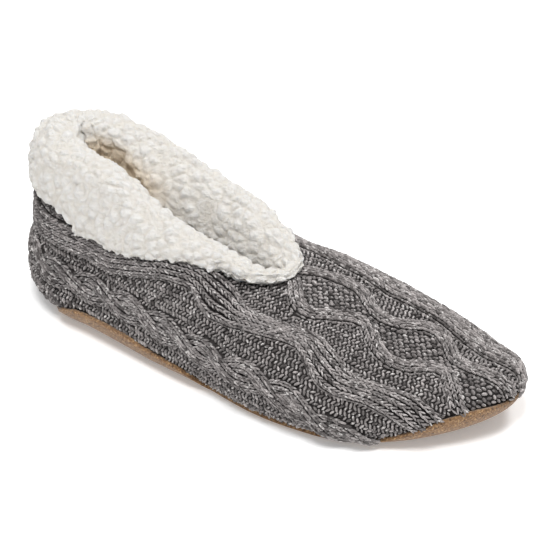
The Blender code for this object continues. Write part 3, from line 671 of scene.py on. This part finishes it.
def grain_shape():
    """One grain of yarn: a small closed ellipsoid along X, and where its corners lie in a texture."""
    bm = bmesh.new()
    layer = bm.loops.layers.uv.new("OFBake")
    bmesh.ops.create_uvsphere(bm, u_segments=6, v_segments=6, radius=0.5, calc_uvs=True)
    bmesh.ops.triangulate(bm, faces=bm.faces)
    corners = np.array([(v.co.z, v.co.x, v.co.y) for v in bm.verts])
    faces = np.array([[loop.vert.index for loop in face.loops] for face in bm.faces])
    uvs = np.array([[loop[layer].uv[:] for loop in face.loops] for face in bm.faces])
    bm.free()
    uvs = (uvs - uvs.min((0, 1))) / (uvs.max((0, 1)) - uvs.min((0, 1)))
    return corners, faces, uvs


def rail(x, across, pitch, start=0.0):
    """Even places along a line on the knit, with its way there."""
    point = on_knit(x, across)[0]
    ways = lengths(point)
    at = np.arange(start * pitch, ways[-1], pitch)
    step = 0.0008
    way = unit(along_line(point, ways, at + step) - along_line(point, ways, at - step))
    return np.interp(at, ways, x), np.interp(at, ways, across), way


def in_band(x, across):
    """Whether a place is on a cable or rib, or on the heel's plain knit."""
    top, bottom = wave_edges(x, across)
    away = np.abs(across)
    found = (away > top - WAVE_MARGIN) & (away < bottom + WAVE_MARGIN)
    for offset in rib_offsets(x, across):
        found |= (np.abs(offset) < RIB_HALF + RIB_MARGIN) & (x > RIBS_FROM * LENGTH)
    for which in (1.0, -1.0):
        found |= rope_strand(x, across, which) > RIB_MARGIN
    return found | ((x < HEEL_WALES) & (away < top))


def in_diamond(x, across):
    near, far = rib_offsets(x, across)
    return (near > RIB_HALF) & (far < -RIB_HALF) & (x > 0.145)


def knit_bands(panel, name):
    """The wavy cable's wales, the heel's plain wales and the rope cable on one side."""
    x = panel.x
    sign = float(panel.side)
    top, bottom = wave_edges(x, np.full(x.shape, sign))
    wave = Stitches(name + "_wave")
    for cord in range(WAVE_CORDS):
        for leg in (-1.0, 1.0):
            share = (cord + 0.5 + WAVE_LEG * leg) / WAVE_CORDS
            line = rail(x, sign * (top + (bottom - top) * share), COURSE, 0.5 * (cord % 2))
            wave.lay(line, 0.0, 18.0 * leg * sign, WAVE_STITCH, tone=0.55)
    for edge in (top - 0.0004, top + 0.0005, bottom - 0.0005, bottom + 0.0004):
        wave.lay(rail(x, sign * edge, COURSE), 0.0, 0.0, EDGE_STITCH, tone=EDGE_TONE)
    for k in range(9):
        use = x < HEEL_WALES + 0.006
        line = rail(x[use], sign * (top[use] - 0.0014 - HEEL_WALE_PITCH * k), COURSE, 0.3 * (k % 3))
        wave.wale(line, 0.0, WALE, tone=0.40)
    rope = Stitches(name + "_rope")
    way = rope_way(x, np.full(x.shape, sign))
    for which in (1.0, -1.0):

        def on_top(x0, across):
            strand = rope_strand(x0, across, which)
            other = rope_strand(x0, across, -which)
            return (strand > other - 0.0002) & (strand > 0.0)

        line = rail(x, sign * rope_centre(x, way, which), COURSE, 0.25 + 0.25 * which)
        for offset in (-ROPE_CORD, 0.0, ROPE_CORD):
            rope.wale(line, sign * offset, WALE, on_top, 13.0, 0.47)
    return wave, rope


def knit_ground_stitches(panel, name):
    """The recessed purl between the bands: rows of short bumps, leaning one way and then the other."""
    ground = Stitches(name + "_purl")
    x, sign = panel.x, float(panel.side)
    keep = lambda x0, s0: ~in_band(x0, s0) & ~in_diamond(x0, s0)
    for k in range(40):
        line = rail(x, np.full(x.shape, sign * (k + 0.5) * PURL_PITCH), PURL_STEP, 0.5 * (k % 2))
        turn = PURL_TURN if k % 2 else -PURL_TURN
        ground.lay(line, 0.0, turn, PURL_STITCH, keep, 0.0001, 0.52, 12.0)
    return ground


def vamp_stitches():
    """The ribs round the diamonds on the vamp, and the seed stitch inside them."""
    vamp = Stitches("vamp_stitches")
    x = np.concatenate([np.arange(RIBS_FROM, RIBS_TO, 0.0024), np.arange(RIBS_TO, 0.9992, 0.0004)]) * LENGTH
    for rib in ("near", "far"):
        line = rail(x, QUARTER_GIRTH * read_table(RIBS, rib, x / LENGTH), COURSE)
        for offset in (-RIB_CORD, 0.0, RIB_CORD):
            vamp.wale(line, offset, VAMP_WALE)
        for edge in (-RIB_HALF, RIB_HALF):
            vamp.lay(line, edge, 0.0, EDGE_STITCH, tone=EDGE_TONE)
    keep = lambda x0, s0: in_diamond(x0, s0) & ~in_band(x0, s0)
    for k in range(-16, 17):
        line = rail(x, np.full(x.shape, k * PURL_PITCH + 0.0003), SEED_STEP, 0.5 * (k % 2))
        turn = SEED_TURN if k % 2 else -SEED_TURN
        vamp.lay(line, 0.0, turn, SEED_STITCH, keep, 0.0002, 0.45, 14.0)
    return vamp


def grid_mesh(points, closed_rows=False, closed_columns=False, weld=0.0, tints=()):
    """A bmesh grid moved onto a table of points, whose values past the third fill the named point attributes.

    Closed ones repeat the first row or column as the last.
    """
    if closed_rows:
        points = np.concatenate([points, points[:1]], 0)
    if closed_columns:
        points = np.concatenate([points, points[:, :1]], 1)
    rows, columns = points.shape[:2]
    bm = bmesh.new()
    layers = [bm.verts.layers.float.new(name) for name in tints]
    bmesh.ops.create_grid(bm, x_segments=rows - 1, y_segments=columns - 1, size=1.0)
    co = np.array([v.co for v in bm.verts])
    i = np.rint((co[:, 0] + 1) / 2 * (rows - 1)).astype(int)
    j = np.rint((co[:, 1] + 1) / 2 * (columns - 1)).astype(int)
    for vert, place in zip(bm.verts, points[i, j].tolist()):
        vert.co = place[:3]
        for layer, value in zip(layers, place[3:]):
            vert[layer] = value
    if closed_rows or closed_columns or weld:
        bmesh.ops.remove_doubles(bm, verts=bm.verts, dist=max(weld, 1e-6))
    return bm


def ring_mesh(tables):
    """A mesh all round the foot from the two sides' tables, welded where their rows meet."""
    bm = grid_mesh(ring_table(*tables) + SHIFT, True, weld=WELD)
    bmesh.ops.recalc_face_normals(bm, faces=bm.faces)
    return bm


def add_piece(mesh, material):
    """Makes a mesh a piece that rides on the one body and takes its finish from a slot."""
    mesh.shade_smooth()
    mesh.materials.append(material)
    obj = bpy.data.objects.new(mesh.name, mesh)
    bpy.context.collection.objects.link(obj)
    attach(obj, "root")
    return obj


def finish_piece(name, bm, material):
    mesh = bpy.data.meshes.new(name)
    bm.to_mesh(mesh)
    bm.free()
    return add_piece(mesh, material)


class Wire:
    """An output of a node, with arithmetic."""

    def __init__(self, tree, socket):
        self.tree, self.socket = tree, socket

    def math(self, kind, *others):
        node = self.tree.nodes.new("ShaderNodeMath")
        node.operation = kind
        for socket, value in zip(node.inputs, (self,) + others):
            plug(self.tree, socket, value)
        return Wire(self.tree, node.outputs[0])

    def __add__(self, other):
        return self.math("ADD", other)

    def __mul__(self, other):
        return self.math("MULTIPLY", other)

    def __sub__(self, other):
        return self.math("SUBTRACT", other)

    def clamp(self):
        return self.math("MAXIMUM", 0.0).math("MINIMUM", 1.0)


def plug(tree, socket, value):
    """Puts a value on a socket, or a link from a wire."""
    if isinstance(value, Wire):
        tree.links.new(value.socket, socket)
    else:
        socket.default_value = value


class Surface:
    """A material with one Principled shader."""

    def __init__(self, name, **constants):
        self.material = bpy.data.materials.new(name)
        self.material.use_nodes = True
        self.tree = self.material.node_tree
        self.shader = self.tree.nodes["Principled BSDF"]
        for socket, value in constants.items():
            self.shader.inputs[socket.replace("_", " ")].default_value = value

    def node(self, kind, output=0, settings=(), **inputs):
        node = self.tree.nodes.new("ShaderNode" + kind)
        for name, value in dict(settings).items():
            setattr(node, name, value)
        for name, value in inputs.items():
            plug(self.tree, node.inputs[name.replace("_", " ")], value)
        return Wire(self.tree, node.outputs[output])

    def mix(self, share, first, second):
        """A colour between two."""
        node = self.tree.nodes.new("ShaderNodeMix")
        node.data_type = "RGBA"
        for socket, value in ((node.inputs[0], share), (node.inputs[6], first), (node.inputs[7], second)):
            plug(self.tree, socket, value if isinstance(value, (Wire, float)) else (*value, 1.0))
        return Wire(self.tree, node.outputs[2])

    def noise(self, scale, detail=3.0, roughness=0.55, distortion=0.0):
        return self.node("TexNoise", 0, Vector=self.node("TexCoord", "Object"), Scale=scale, Detail=detail,
                         Roughness=roughness, Distortion=distortion)

    def attribute(self, name):
        return self.node("Attribute", "Fac", {"attribute_name": name})

    def bump(self, height, strength, distance):
        normal = self.node("Bump", 0, Height=height, Strength=strength, Distance=distance)
        plug(self.tree, self.shader.inputs["Normal"], normal)

    def wear(self, **inputs):
        """Links wires to the shader's inputs."""
        for name, value in inputs.items():
            plug(self.tree, self.shader.inputs[name.replace("_", " ")], value)
        return self.material


def yarn_material():
    """Heathered yarn: each stitch has its own tone, darker at the heel as painted shade, with pale and dark
    fibres over it.
    """
    s = Surface("knit_yarn", Roughness=0.92, Sheen_Weight=0.2)
    tone = s.attribute("tone")
    fibre = s.noise(1500.0, 4.0, 0.7)
    heather = s.noise(520.0, 3.0, 0.6)
    broad = s.noise(38.0, 2.0)
    colour = s.mix(tone, (0.062, 0.053, 0.051), (0.500, 0.460, 0.450))
    colour = s.mix((heather * 8.0 - 4.4).clamp() * 0.85, colour, (0.86, 0.83, 0.81))
    colour = s.mix((fibre * 7.0 - 3.45).clamp() * 0.75, colour, (0.026, 0.022, 0.020))
    colour = s.mix((broad * 1.6 - 0.5).clamp() * 0.18, colour, (0.11, 0.097, 0.093))
    s.bump(fibre * 0.6 + heather, 0.8, 0.0006)
    return s.wear(Base_Color=colour)


def ground_shade_material():
    """The same yarn deep between the stitches, painted nearly black as the shade there."""
    s = Surface("knit_deep_shade", Roughness=0.95, Sheen_Weight=0.1)
    fibre = s.noise(1300.0, 4.0, 0.7)
    colour = s.mix((fibre * 1.9 - 0.45).clamp(), (0.010, 0.008, 0.008), (0.045, 0.038, 0.036))
    s.bump(fibre, 0.6, 0.0007)
    return s.wear(Base_Color=colour)


def fleece_material():
    s = Surface("sherpa_fleece", Roughness=0.95, Sheen_Weight=0.3, Subsurface_Weight=0.15)
    s.shader.inputs["Subsurface Radius"].default_value = (0.004, 0.0034, 0.0026)
    curl = s.noise(900.0, 4.0, 0.65, distortion=1.2)
    knot = s.noise(330.0, 3.0, 0.6, distortion=0.8)
    crevice_shade, inside = s.attribute("crevice_shade"), s.attribute("inside")
    tone = s.mix((knot * 2.0 - 0.6).clamp(), (0.800, 0.790, 0.768), (0.745, 0.728, 0.698))
    tone = s.mix((curl * 3.2 - 1.2).clamp() * 0.6, tone, (0.87, 0.862, 0.845))
    # Painted shade: the creases between the curls are darkened to beige
    tone = s.mix(crevice_shade * 0.6, tone, (0.70, 0.645, 0.56))
    # Painted shade: deep down the cuff's inside leg the fleece is tinted a darker warm tan
    tone = s.mix(inside * 0.9, tone, (0.80, 0.67, 0.50))
    s.bump(curl * 0.8 + knot, 0.9, 0.0018)
    return s.wear(Base_Color=tone)


def short_pile_material(name, scale, contrast, dark, pale, depth):
    """The brushed fleece inside the slipper."""
    s = Surface(name, Roughness=0.95, Sheen_Weight=0.3)
    curl = s.noise(scale, 4.0, 0.65, distortion=1.0)
    tone = s.mix((curl * contrast - 0.4).clamp(), dark, pale)
    s.bump(curl, 0.6, depth)
    return s.wear(Base_Color=tone)


def suede_material():
    """Napped suede: broad patches of brushed nap, a fine grain, and darker specks."""
    s = Surface("suede_leather", Roughness=0.88, Sheen_Weight=0.3)
    nap = s.noise(1100.0, 4.0, 0.7)
    speck = s.noise(800.0, 2.0, 0.5)
    patch = s.noise(60.0, 3.0, 0.6)
    tone = s.mix((patch * 1.8 - 0.4).clamp(), (0.170, 0.082, 0.031), (0.240, 0.128, 0.052))
    tone = s.mix((nap * 9.0 - 4.6).clamp() * 0.8, tone, (0.60, 0.38, 0.185))
    tone = s.mix((speck * 9.0 - 4.9).clamp() * 0.85, tone, (0.075, 0.034, 0.012))
    s.bump(nap + speck * 0.8 + patch * 0.4, 0.7, 0.0009)
    return s.wear(Base_Color=tone)


YARN = yarn_material()
DEEP_SHADE = ground_shade_material()
FLEECE = fleece_material()
# The lining is cream fleece painted darker as shade
SHADED_LINING = short_pile_material("lining_fleece_shaded", 520.0, 1.8, (0.62, 0.50, 0.37), (0.84, 0.74, 0.60), 0.0012)
SUEDE_LEATHER = suede_material()
INSOLE = short_pile_material("insole_fleece", 500.0, 1.6, (0.60, 0.53, 0.43), (0.80, 0.74, 0.64), 0.001)


def make_ground():
    """The knit's ground under the stitches, painted dark as the shade between them, both sides welded along the
    ridge, the heel and the toe.
    """
    whole = bmesh.new()
    for panel in (NEAR_PANEL, FAR_PANEL):
        share = np.linspace(0.0, 1.0, GROUND_LANES)[None, :]
        away = panel.top[:, None] + (panel.end - panel.top)[:, None] * share
        x = panel.x[:, None] + 0.0 * away
        across = panel.side * np.maximum(away, 1e-9)
        point, out = on_knit(x, across)
        raised = GROUND_SHARE * relief(x, across) * smooth_step(0.006, -0.002, covered(x, across))
        raised *= smooth_step(-0.0035, -0.0005, point[..., 2] - floor_lift(point[..., 0]) - rim_height(x))
        points = point + out * (raised + GROUND_SINK)[..., None] + SHIFT
        bm = grid_mesh(points[::panel.side])
        mesh = bpy.data.meshes.new("side")
        bm.to_mesh(mesh)
        bm.free()
        whole.from_mesh(mesh)
        bpy.data.meshes.remove(mesh)
    bmesh.ops.remove_doubles(whole, verts=whole.verts, dist=0.0003)
    obj = finish_piece("knit_ground", whole, DEEP_SHADE)
    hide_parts("upper")


def make_stitches():
    template = grain_shape()
    pieces = [vamp_stitches()]
    for panel, name in ((NEAR_PANEL, "near"), (FAR_PANEL, "far")):
        pieces += knit_bands(panel, name)
        pieces.append(knit_ground_stitches(panel, name))
    for piece in pieces:
        piece.join(template, YARN)


class Collar:
    """The cuff's stations on one side, from the heel to the throat, and the line each follows down the wall."""

    def __init__(self, form, x):
        self.form, self.x, self.side = form, x, form.side
        self.start = np.interp(x, form.x, form.edge)
        run = np.gradient(spine_x(x))
        closing = -np.gradient(self.start)
        turned = np.arctan2(closing, run) * smooth_step(0.100, 0.118, x)
        turned = np.where(x >= THROAT_PLACE - 1e-9, math.pi / 2, turned)
        self.ahead, self.down = np.sin(turned), np.cos(turned)

    def point(self, distance, out):
        x = self.x + self.ahead * distance
        return self.form.wall(x, self.start + self.down * distance, out + 0 * x)


def meeting_line(form, x):
    """Where the cuff's two sides meet in the middle, seen from above, for each station."""
    outline, inwards, reach = foot_lines(form, x)
    turn = THROAT_PLACE - THROAT_RADIUS
    crease = turn + 0.8 * (x - turn)
    front = np.stack([crease, middle_line(crease)], -1)
    return np.where((x > turn)[:, None], front, outline + inwards * reach[:, None])


def cuff_lines(collar):
    """The cuff's section at each station, as a table: hem, flap, crest, inside leg, and back behind them."""
    x, side = collar.x, collar.side
    hem = CUFF_DROP * cuff_share("drop", x, side)
    ragged = np.sin(x * 890.0 + side) + 0.6 * np.sin(x * 530.0 + 2.0 * side)
    hem = hem + 0.0003 * ragged * smooth_step(0.02, 0.04, x) * smooth_step(0.132, 0.122, x)
    front = smooth_step(0.80, 1.0, x / THROAT_PLACE)
    leg = CUFF_TUCK_IN * (1.0 - 0.55 * front)
    outside = FLEECE_OUTSIDE * cuff_share("thick", x, side)
    back = FLEECE_BACK * (1.0 - smooth_step(0.0, 0.34, x / THROAT_PLACE))
    inside = FLEECE_INSIDE * cuff_share("inside", x, side) + back
    outer, inner = CUFF_GAP + outside, KNIT_WALL + CUFF_GAP + inside
    edge = collar.point(0.0, 0.0)
    out = unit(collar.point(0.0, 0.001) - edge)
    up = edge - collar.point(0.0015, 0.0)
    up = unit(up - out * (up * out).sum(-1, keepdims=True))
    to_middle = meeting_line(collar.form, x) - edge[:, :2]
    room = np.linalg.norm(to_middle, axis=-1)
    level = np.pad(unit(to_middle), ((0, 0), (0, 1)))
    ahead = smooth_step(0.108, 0.126, x)[:, None]
    up = unit(up * (1.0 - ahead) + level * ahead)
    crest = (outer + inner) / 2
    centre = edge + out * ((outer - inner) / 2)[:, None]
    opening = np.where(x < THROAT_PLACE, collar_half_opening(np.minimum(x, THROAT_PLACE)), THROAT_RADIUS)
    rise = np.minimum(np.minimum(crest, np.maximum(opening, THROAT_RADIUS) + 0.0020),
                      CREST_RISE * cuff_share("rise", x, side))
    rise = np.minimum(rise, room + 0.0004 + 0.006 * smooth_step(0.126, 0.112, x))
    lines = [collar.point(hem * 0.98, CUFF_GAP + 0 * hem), collar.point(hem + 0.002, CUFF_GAP + 0.42 * outside)]
    for share, thick in FLAP_SECTION:
        lines.append(collar.point(hem * share, CUFF_GAP + outside * thick))
    for turn in np.radians(CREST_TURNS):
        wide, high = math.cos(turn), math.sin(turn)
        if wide < 0.0:
            wide, high = -(-wide) ** CREST_SQUARE, high ** CREST_SQUARE
        lines.append(centre + out * (wide * crest)[:, None] + up * (high * rise)[:, None])
    closing = smooth_step(0.10, 0.40, x / THROAT_PLACE)
    for share, thick in LEG_SECTION:
        lines.append(collar.point(leg * share, -(KNIT_WALL + CUFF_GAP + inside * (1.0 + thick * closing))))
    visible = len(lines)
    for share in (1.0, 0.5):
        lines.append(collar.point(leg * share, -(KNIT_WALL + CUFF_GAP) + 0 * hem))
    lines.append(edge - out * (KNIT_WALL + CUFF_GAP) + up * CUFF_GAP)
    lines.append(edge + out * CUFF_GAP + up * CUFF_GAP)
    lines.append(collar.point(hem * 0.5, CUFF_GAP + 0 * hem))
    return np.stack(lines, 1), visible


def smooth_line(points, count):
    """A line through its points' middles (a quadratic B-spline), cut evenly."""
    middles = (points[1:] + points[:-1]) / 2
    out = [points[:1]]
    for k in range(1, len(points) - 1):
        t = np.linspace(0.0, 1.0, 7)[:-1, None]
        out.append(middles[k - 1] * (1 - t) ** 2 + points[k] * 2 * t * (1 - t) + middles[k] * t ** 2)
    line = np.concatenate(out + [points[-1:]])
    ways = lengths(line)
    return along_line(line, ways, np.linspace(0.0, ways[-1], count))


def blobs_at(points, size, seed):
    """How far each place is from the middle of its blob, 0, to the crease round it, 1.

    The blobs lie about jittered points, one for each cell of a grid.
    """
    p = points / size
    base = np.floor(p).astype(int)
    first = np.full(p.shape[:-1], 9.0)
    second = first.copy()
    for shift in np.ndindex(3, 3, 3):
        cell = base + np.array(shift) - 1
        mixed = np.bitwise_xor.reduce(cell * np.array(HASH[:3]), -1) ^ seed * HASH[3]
        jitter = [0.1 + 0.8 * ((mixed * (k * 2 + 48271) >> 7) & 4095) / 4095 for k in range(3)]
        away = np.linalg.norm(cell + np.stack(jitter, -1) - p, axis=-1)
        second = np.minimum(second, np.maximum(first, away))
        first = np.minimum(first, away)
    return 2.0 * first / (first + second)


def make_cuff():
    """The fleece cuff: curly pile over the collar edge, turned down outside and tucked in inside."""
    fine = THROAT_PLACE * (1.0 - np.cos(np.linspace(0.0, math.pi, 900))) / 2
    tables, spines = [], []
    for form in (NEAR, FAR):
        ways = lengths(Collar(form, fine).point(0.0, 0.0))
        x = np.interp(np.linspace(0.0, ways[-1], CUFF_STATIONS), ways, fine)
        collar = Collar(form, x)
        middle = meeting_line(form, x)
        spines.append(np.concatenate([middle, unit(collar.point(0.0, 0.0)[:, :2] - middle)], -1))
        lines, visible = cuff_lines(collar)
        front = np.array([smooth_line(line, CUFF_COLUMNS) for line in lines[:, :visible]])
        hidden = np.array([smooth_line(line, CUFF_BACK) for line in
                           np.concatenate([lines[:, visible - 1:], lines[:, :1]], 1)])
        tables.append(np.concatenate([front, hidden[:, 1:-1]], 1))
    # The two sides' first rows don't quite meet behind the heel, so each side gives way by half
    step = (tables[1][:1] - tables[0][:1]) / 2 * smooth_step(16.0, 0.0, np.arange(CUFF_STATIONS))[:, None, None]
    ring, spine = ring_table(tables[0] + step, tables[1] - step), ring_table(*spines)[:, None]
    along = np.roll(ring, -1, 0) - np.roll(ring, 1, 0)
    down = np.roll(ring, -1, 1) - np.roll(ring, 1, 1)
    normal = unit(np.cross(along, down))
    column = np.arange(ring.shape[1])[None, :]
    top = ring[:, :CUFF_COLUMNS, 2].argmax(1)[:, None]
    depth = ring[..., 2].max(1)[:, None] - ring[..., 2]
    leg = (column > top) & (column < CUFF_COLUMNS)
    # Painted shade: how deep a place lies down the cuff's inside leg, for the darker warm tint there
    inside = smooth_step(0.004, 0.013, depth) * leg * smooth_step(0.082, 0.050, ring[..., 0])
    warp = CURL_WARP * np.sin(ring[..., [1, 2, 0]] * 420.0)
    swell = LEG_SWELL * smooth_step(0.0, 0.008, depth) * leg - CUFF_SLACK
    # Painted shade: the creases round the curls are darkened
    crevice_shade = np.zeros(swell.shape)
    for size, seed, bend, rise, power, dark, fall in CURLS:
        blob = blobs_at(ring + bend * warp, size, seed)
        swell += rise * (1.0 - blob ** power)
        crevice_shade += dark * blob ** fall
    crevice_shade = np.clip(crevice_shade, 0.0, 1.0)
    ring = ring + normal * (swell * (column < CUFF_COLUMNS) * 0.001)[..., None]
    outward = spine[..., 2:4]
    short = 0.0004 - ((ring[..., :2] - spine[..., :2]) * outward).sum(-1)
    ring[..., :2] += outward * np.clip(short, 0.0, None)[..., None]
    ring = np.concatenate([ring + SHIFT, crevice_shade[..., None], inside[..., None]], -1)
    bm = grid_mesh(ring, True, True, tints=("crevice_shade", "inside"))
    bmesh.ops.recalc_face_normals(bm, faces=bm.faces)
    obj = finish_piece("sherpa_cuff", bm, FLEECE)
    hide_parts("cuff")


def make_lining():
    """The fleece lining of the foot, from under the cuff's inside leg down to the insole."""
    tables = []
    for form in (NEAR, FAR):
        x = round_foot(form, 150)
        top = (np.interp(x, form.x, form.edge) + LINING_START) * (x < THROAT_PLACE)
        bottom = np.interp(x, form.x, form.girths[:, PROFILE_SAMPLES + 12])
        share = np.linspace(0.0, 1.0, 34)[None, :]
        girth = top[:, None] + (bottom - top)[:, None] * share
        tables.append(form.wall(x[:, None] + 0 * girth, girth, np.full(girth.shape, -LINING_DEPTH)))
    bm = ring_mesh(tables)
    bmesh.ops.solidify(bm, geom=bm.faces[:], thickness=LINING_WALL)
    finish_piece("fleece_lining", bm, SHADED_LINING)


def round_foot(form, count):
    """Places at even steps along one side's outline, from heel to toe."""
    return np.interp(np.linspace(0.0, form.arc[-1], count), form.arc, form.x)


def ring_table(near, far):
    """Both sides' rows as one ring: the near side to the toe, and the far side back."""
    return np.concatenate([near, far[-2:0:-1]], 0)


def foot_lines(form, x):
    """The outline, the way in and the reach of the spokes at places along the outline."""
    inner = spine_x(x)
    spine = np.stack([inner, middle_line(inner)], -1)
    outline = np.stack([x, middle_line(x) + form.side * half_width(x)], -1)
    reach = np.linalg.norm(spine - outline, axis=-1)
    return outline, (spine - outline) / reach[:, None], reach


def make_sole():
    """The suede sole: a sheet under the foot whose edge wraps up round the knit."""
    tables = []
    for form in (NEAR, FAR):
        x = round_foot(form, 330)
        outline, inwards, reach = foot_lines(form, x)
        widest, tuck = by_region(x, WIDEST), by_region(x, TUCK)
        drop = widest - SUEDE - GAP
        last = np.arcsin(np.clip((widest - rim_height(x)) / drop, -0.5, 1.0))

        def under(turn, out):
            depth, level = tuck * (1 - np.cos(turn)), widest - drop * np.sin(turn)
            across, down = drop * np.cos(turn), tuck * np.sin(turn)
            length = np.hypot(across, down)
            flat = outline + inwards * (depth - out * across / length)[:, None]
            return np.concatenate([flat, (level - out * down / length + floor_lift(flat[:, 0]))[:, None]], 1)

        def across(share, level):
            flat = outline + inwards * (tuck + (reach - tuck) * share)[:, None]
            return np.concatenate([flat, (level + floor_lift(flat[:, 0]))[:, None]], 1)

        def wrap(share, out):
            return under(math.pi / 2 + (last - math.pi / 2) * share, out)

        columns = [across(share, SUEDE) for share in (1.0, 0.5)]
        columns += [wrap(row / 8, GAP) for row in range(9)]
        columns += [under(last - share * 0.02, GAP + SUEDE * share) for share in (0.25, 0.5, 0.75)]
        columns += [wrap(row / 12, GAP + SUEDE) for row in range(12, -1, -1)]
        columns += [across(share, 0.0) for share in (0.5, 1.0)]
        tables.append(np.stack(columns, 1))
    obj = finish_piece("suede_sole", ring_mesh(tables), SUEDE_LEATHER)
    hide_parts("outsole")


def settle(obj):
    """Makes the modifiers' result the piece's own mesh."""
    mesh = bpy.data.meshes.new_from_object(obj.evaluated_get(bpy.context.evaluated_depsgraph_get()))
    obj.modifiers.clear()
    old, obj.data = obj.data, mesh
    bpy.data.meshes.remove(old)


def puff(obj, voxel, most):
    """Swells a pad by a short cloth simulation, no point farther than most, and smooths it once."""
    remesh = obj.modifiers.new("remesh", "REMESH")
    remesh.mode, remesh.voxel_size, remesh.use_smooth_shade = "VOXEL", voxel, True
    settle(obj)
    start = np.array([v.co for v in obj.data.vertices])
    cloth = obj.modifiers.new("cloth", "CLOTH").settings
    cloth.use_pressure, cloth.uniform_pressure_force = True, 4.0
    cloth.effector_weights.gravity = 0.0
    scene = bpy.context.scene
    for step in range(1, 21):
        scene.frame_set(step)
    settle(obj)
    scene.frame_set(1)
    moved = np.array([v.co for v in obj.data.vertices]) - start
    moved *= np.minimum(1.0, most / np.maximum(np.linalg.norm(moved, axis=1), 1e-9))[:, None]
    obj.data.vertices.foreach_set("co", (start + moved).ravel())
    smoother = obj.modifiers.new("smooth", "SUBSURF")
    smoother.levels = smoother.render_levels = 1
    settle(obj)
    if not obj.data.materials:
        obj.data.materials.append(INSOLE)


def make_insole():
    """The padded insole."""
    tables = []
    for form in (NEAR, FAR):
        x = round_foot(form, 90)
        outline, inwards, reach = foot_lines(form, x)
        tuck = by_region(x, TUCK)
        columns = []
        for share, level in INSOLE_SECTION:
            start = tuck * (1.0 if level < PLUG_HEIGHT else INSOLE_WIDER) + INSOLE_GAP
            depth = start + (reach - start) * share
            flat = outline + inwards * depth[:, None]
            columns.append(np.concatenate([flat, (level + floor_lift(flat[:, 0]))[:, None]], 1))
        tables.append(np.stack(columns, 1))
    obj = finish_piece("insole_pad", ring_mesh(tables), INSOLE)
    puff(obj, 0.0045, 0.0015)
    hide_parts("insole")


def make_camera():
    a, e = math.radians(CAMERA_TURN), math.radians(CAMERA_RISE)
    toward = Vector((math.sin(a) * math.cos(e), -math.cos(a) * math.cos(e), math.sin(e)))
    camera = bpy.data.objects.new("camera", bpy.data.cameras.new("camera"))
    bpy.context.collection.objects.link(camera)
    camera.location = Vector(CAMERA_AIM) + toward * CAMERA_DISTANCE
    camera.rotation_mode = "QUATERNION"
    camera.rotation_quaternion = (-toward).to_track_quat("-Z", "Y")
    camera.data.lens = FOCAL_PIXELS / FRAME_PIXELS * camera.data.sensor_width
    camera.data.shift_x, camera.data.shift_y = (pixels / FRAME_PIXELS for pixels in SHIFT_PIXELS)
    camera.data.clip_start, camera.data.clip_end = 0.05, 20.0
    bpy.context.scene.camera = camera


def make_studio():
    scene = bpy.context.scene
    scene.view_settings.view_transform = "Standard"
    world = bpy.data.worlds.new("studio")
    scene.world = world
    world.use_nodes = True
    background = world.node_tree.nodes["Background"]
    background.inputs["Color"].default_value = (1.0, 1.0, 1.0, 1.0)
    background.inputs["Strength"].default_value = WORLD_LIGHT
    for name, place, size, power in LIGHTS:
        light = bpy.data.objects.new(name, bpy.data.lights.new(name, "AREA"))
        light.data.size, light.data.energy = size, power
        light.location = place
        light.rotation_mode = "QUATERNION"
        light.rotation_quaternion = (-Vector(place)).to_track_quat("-Z", "Y")
        bpy.context.collection.objects.link(light)
    bm = bmesh.new()
    bmesh.ops.create_grid(bm, x_segments=8, y_segments=8, size=6.0)
    mesh = bpy.data.meshes.new("floor")
    bm.to_mesh(mesh)
    bm.free()
    floor = bpy.data.objects.new("floor", mesh)
    s = Surface("floor", Roughness=0.9, Emission_Strength=FLOOR_GLOW)
    s.shader.inputs["Emission Color"].default_value = (1.0, 1.0, 1.0, 1.0)
    fine = s.noise(30.0)
    mesh.materials.append(s.wear(Base_Color=s.mix(fine, (0.94, 0.94, 0.94), (0.96, 0.96, 0.96))))
    bpy.context.collection.objects.link(floor)
    floor.location.z = -0.0002


make_camera()
make_studio()
make_ground()
make_stitches()
make_cuff()
make_lining()
make_sole()
make_insole()
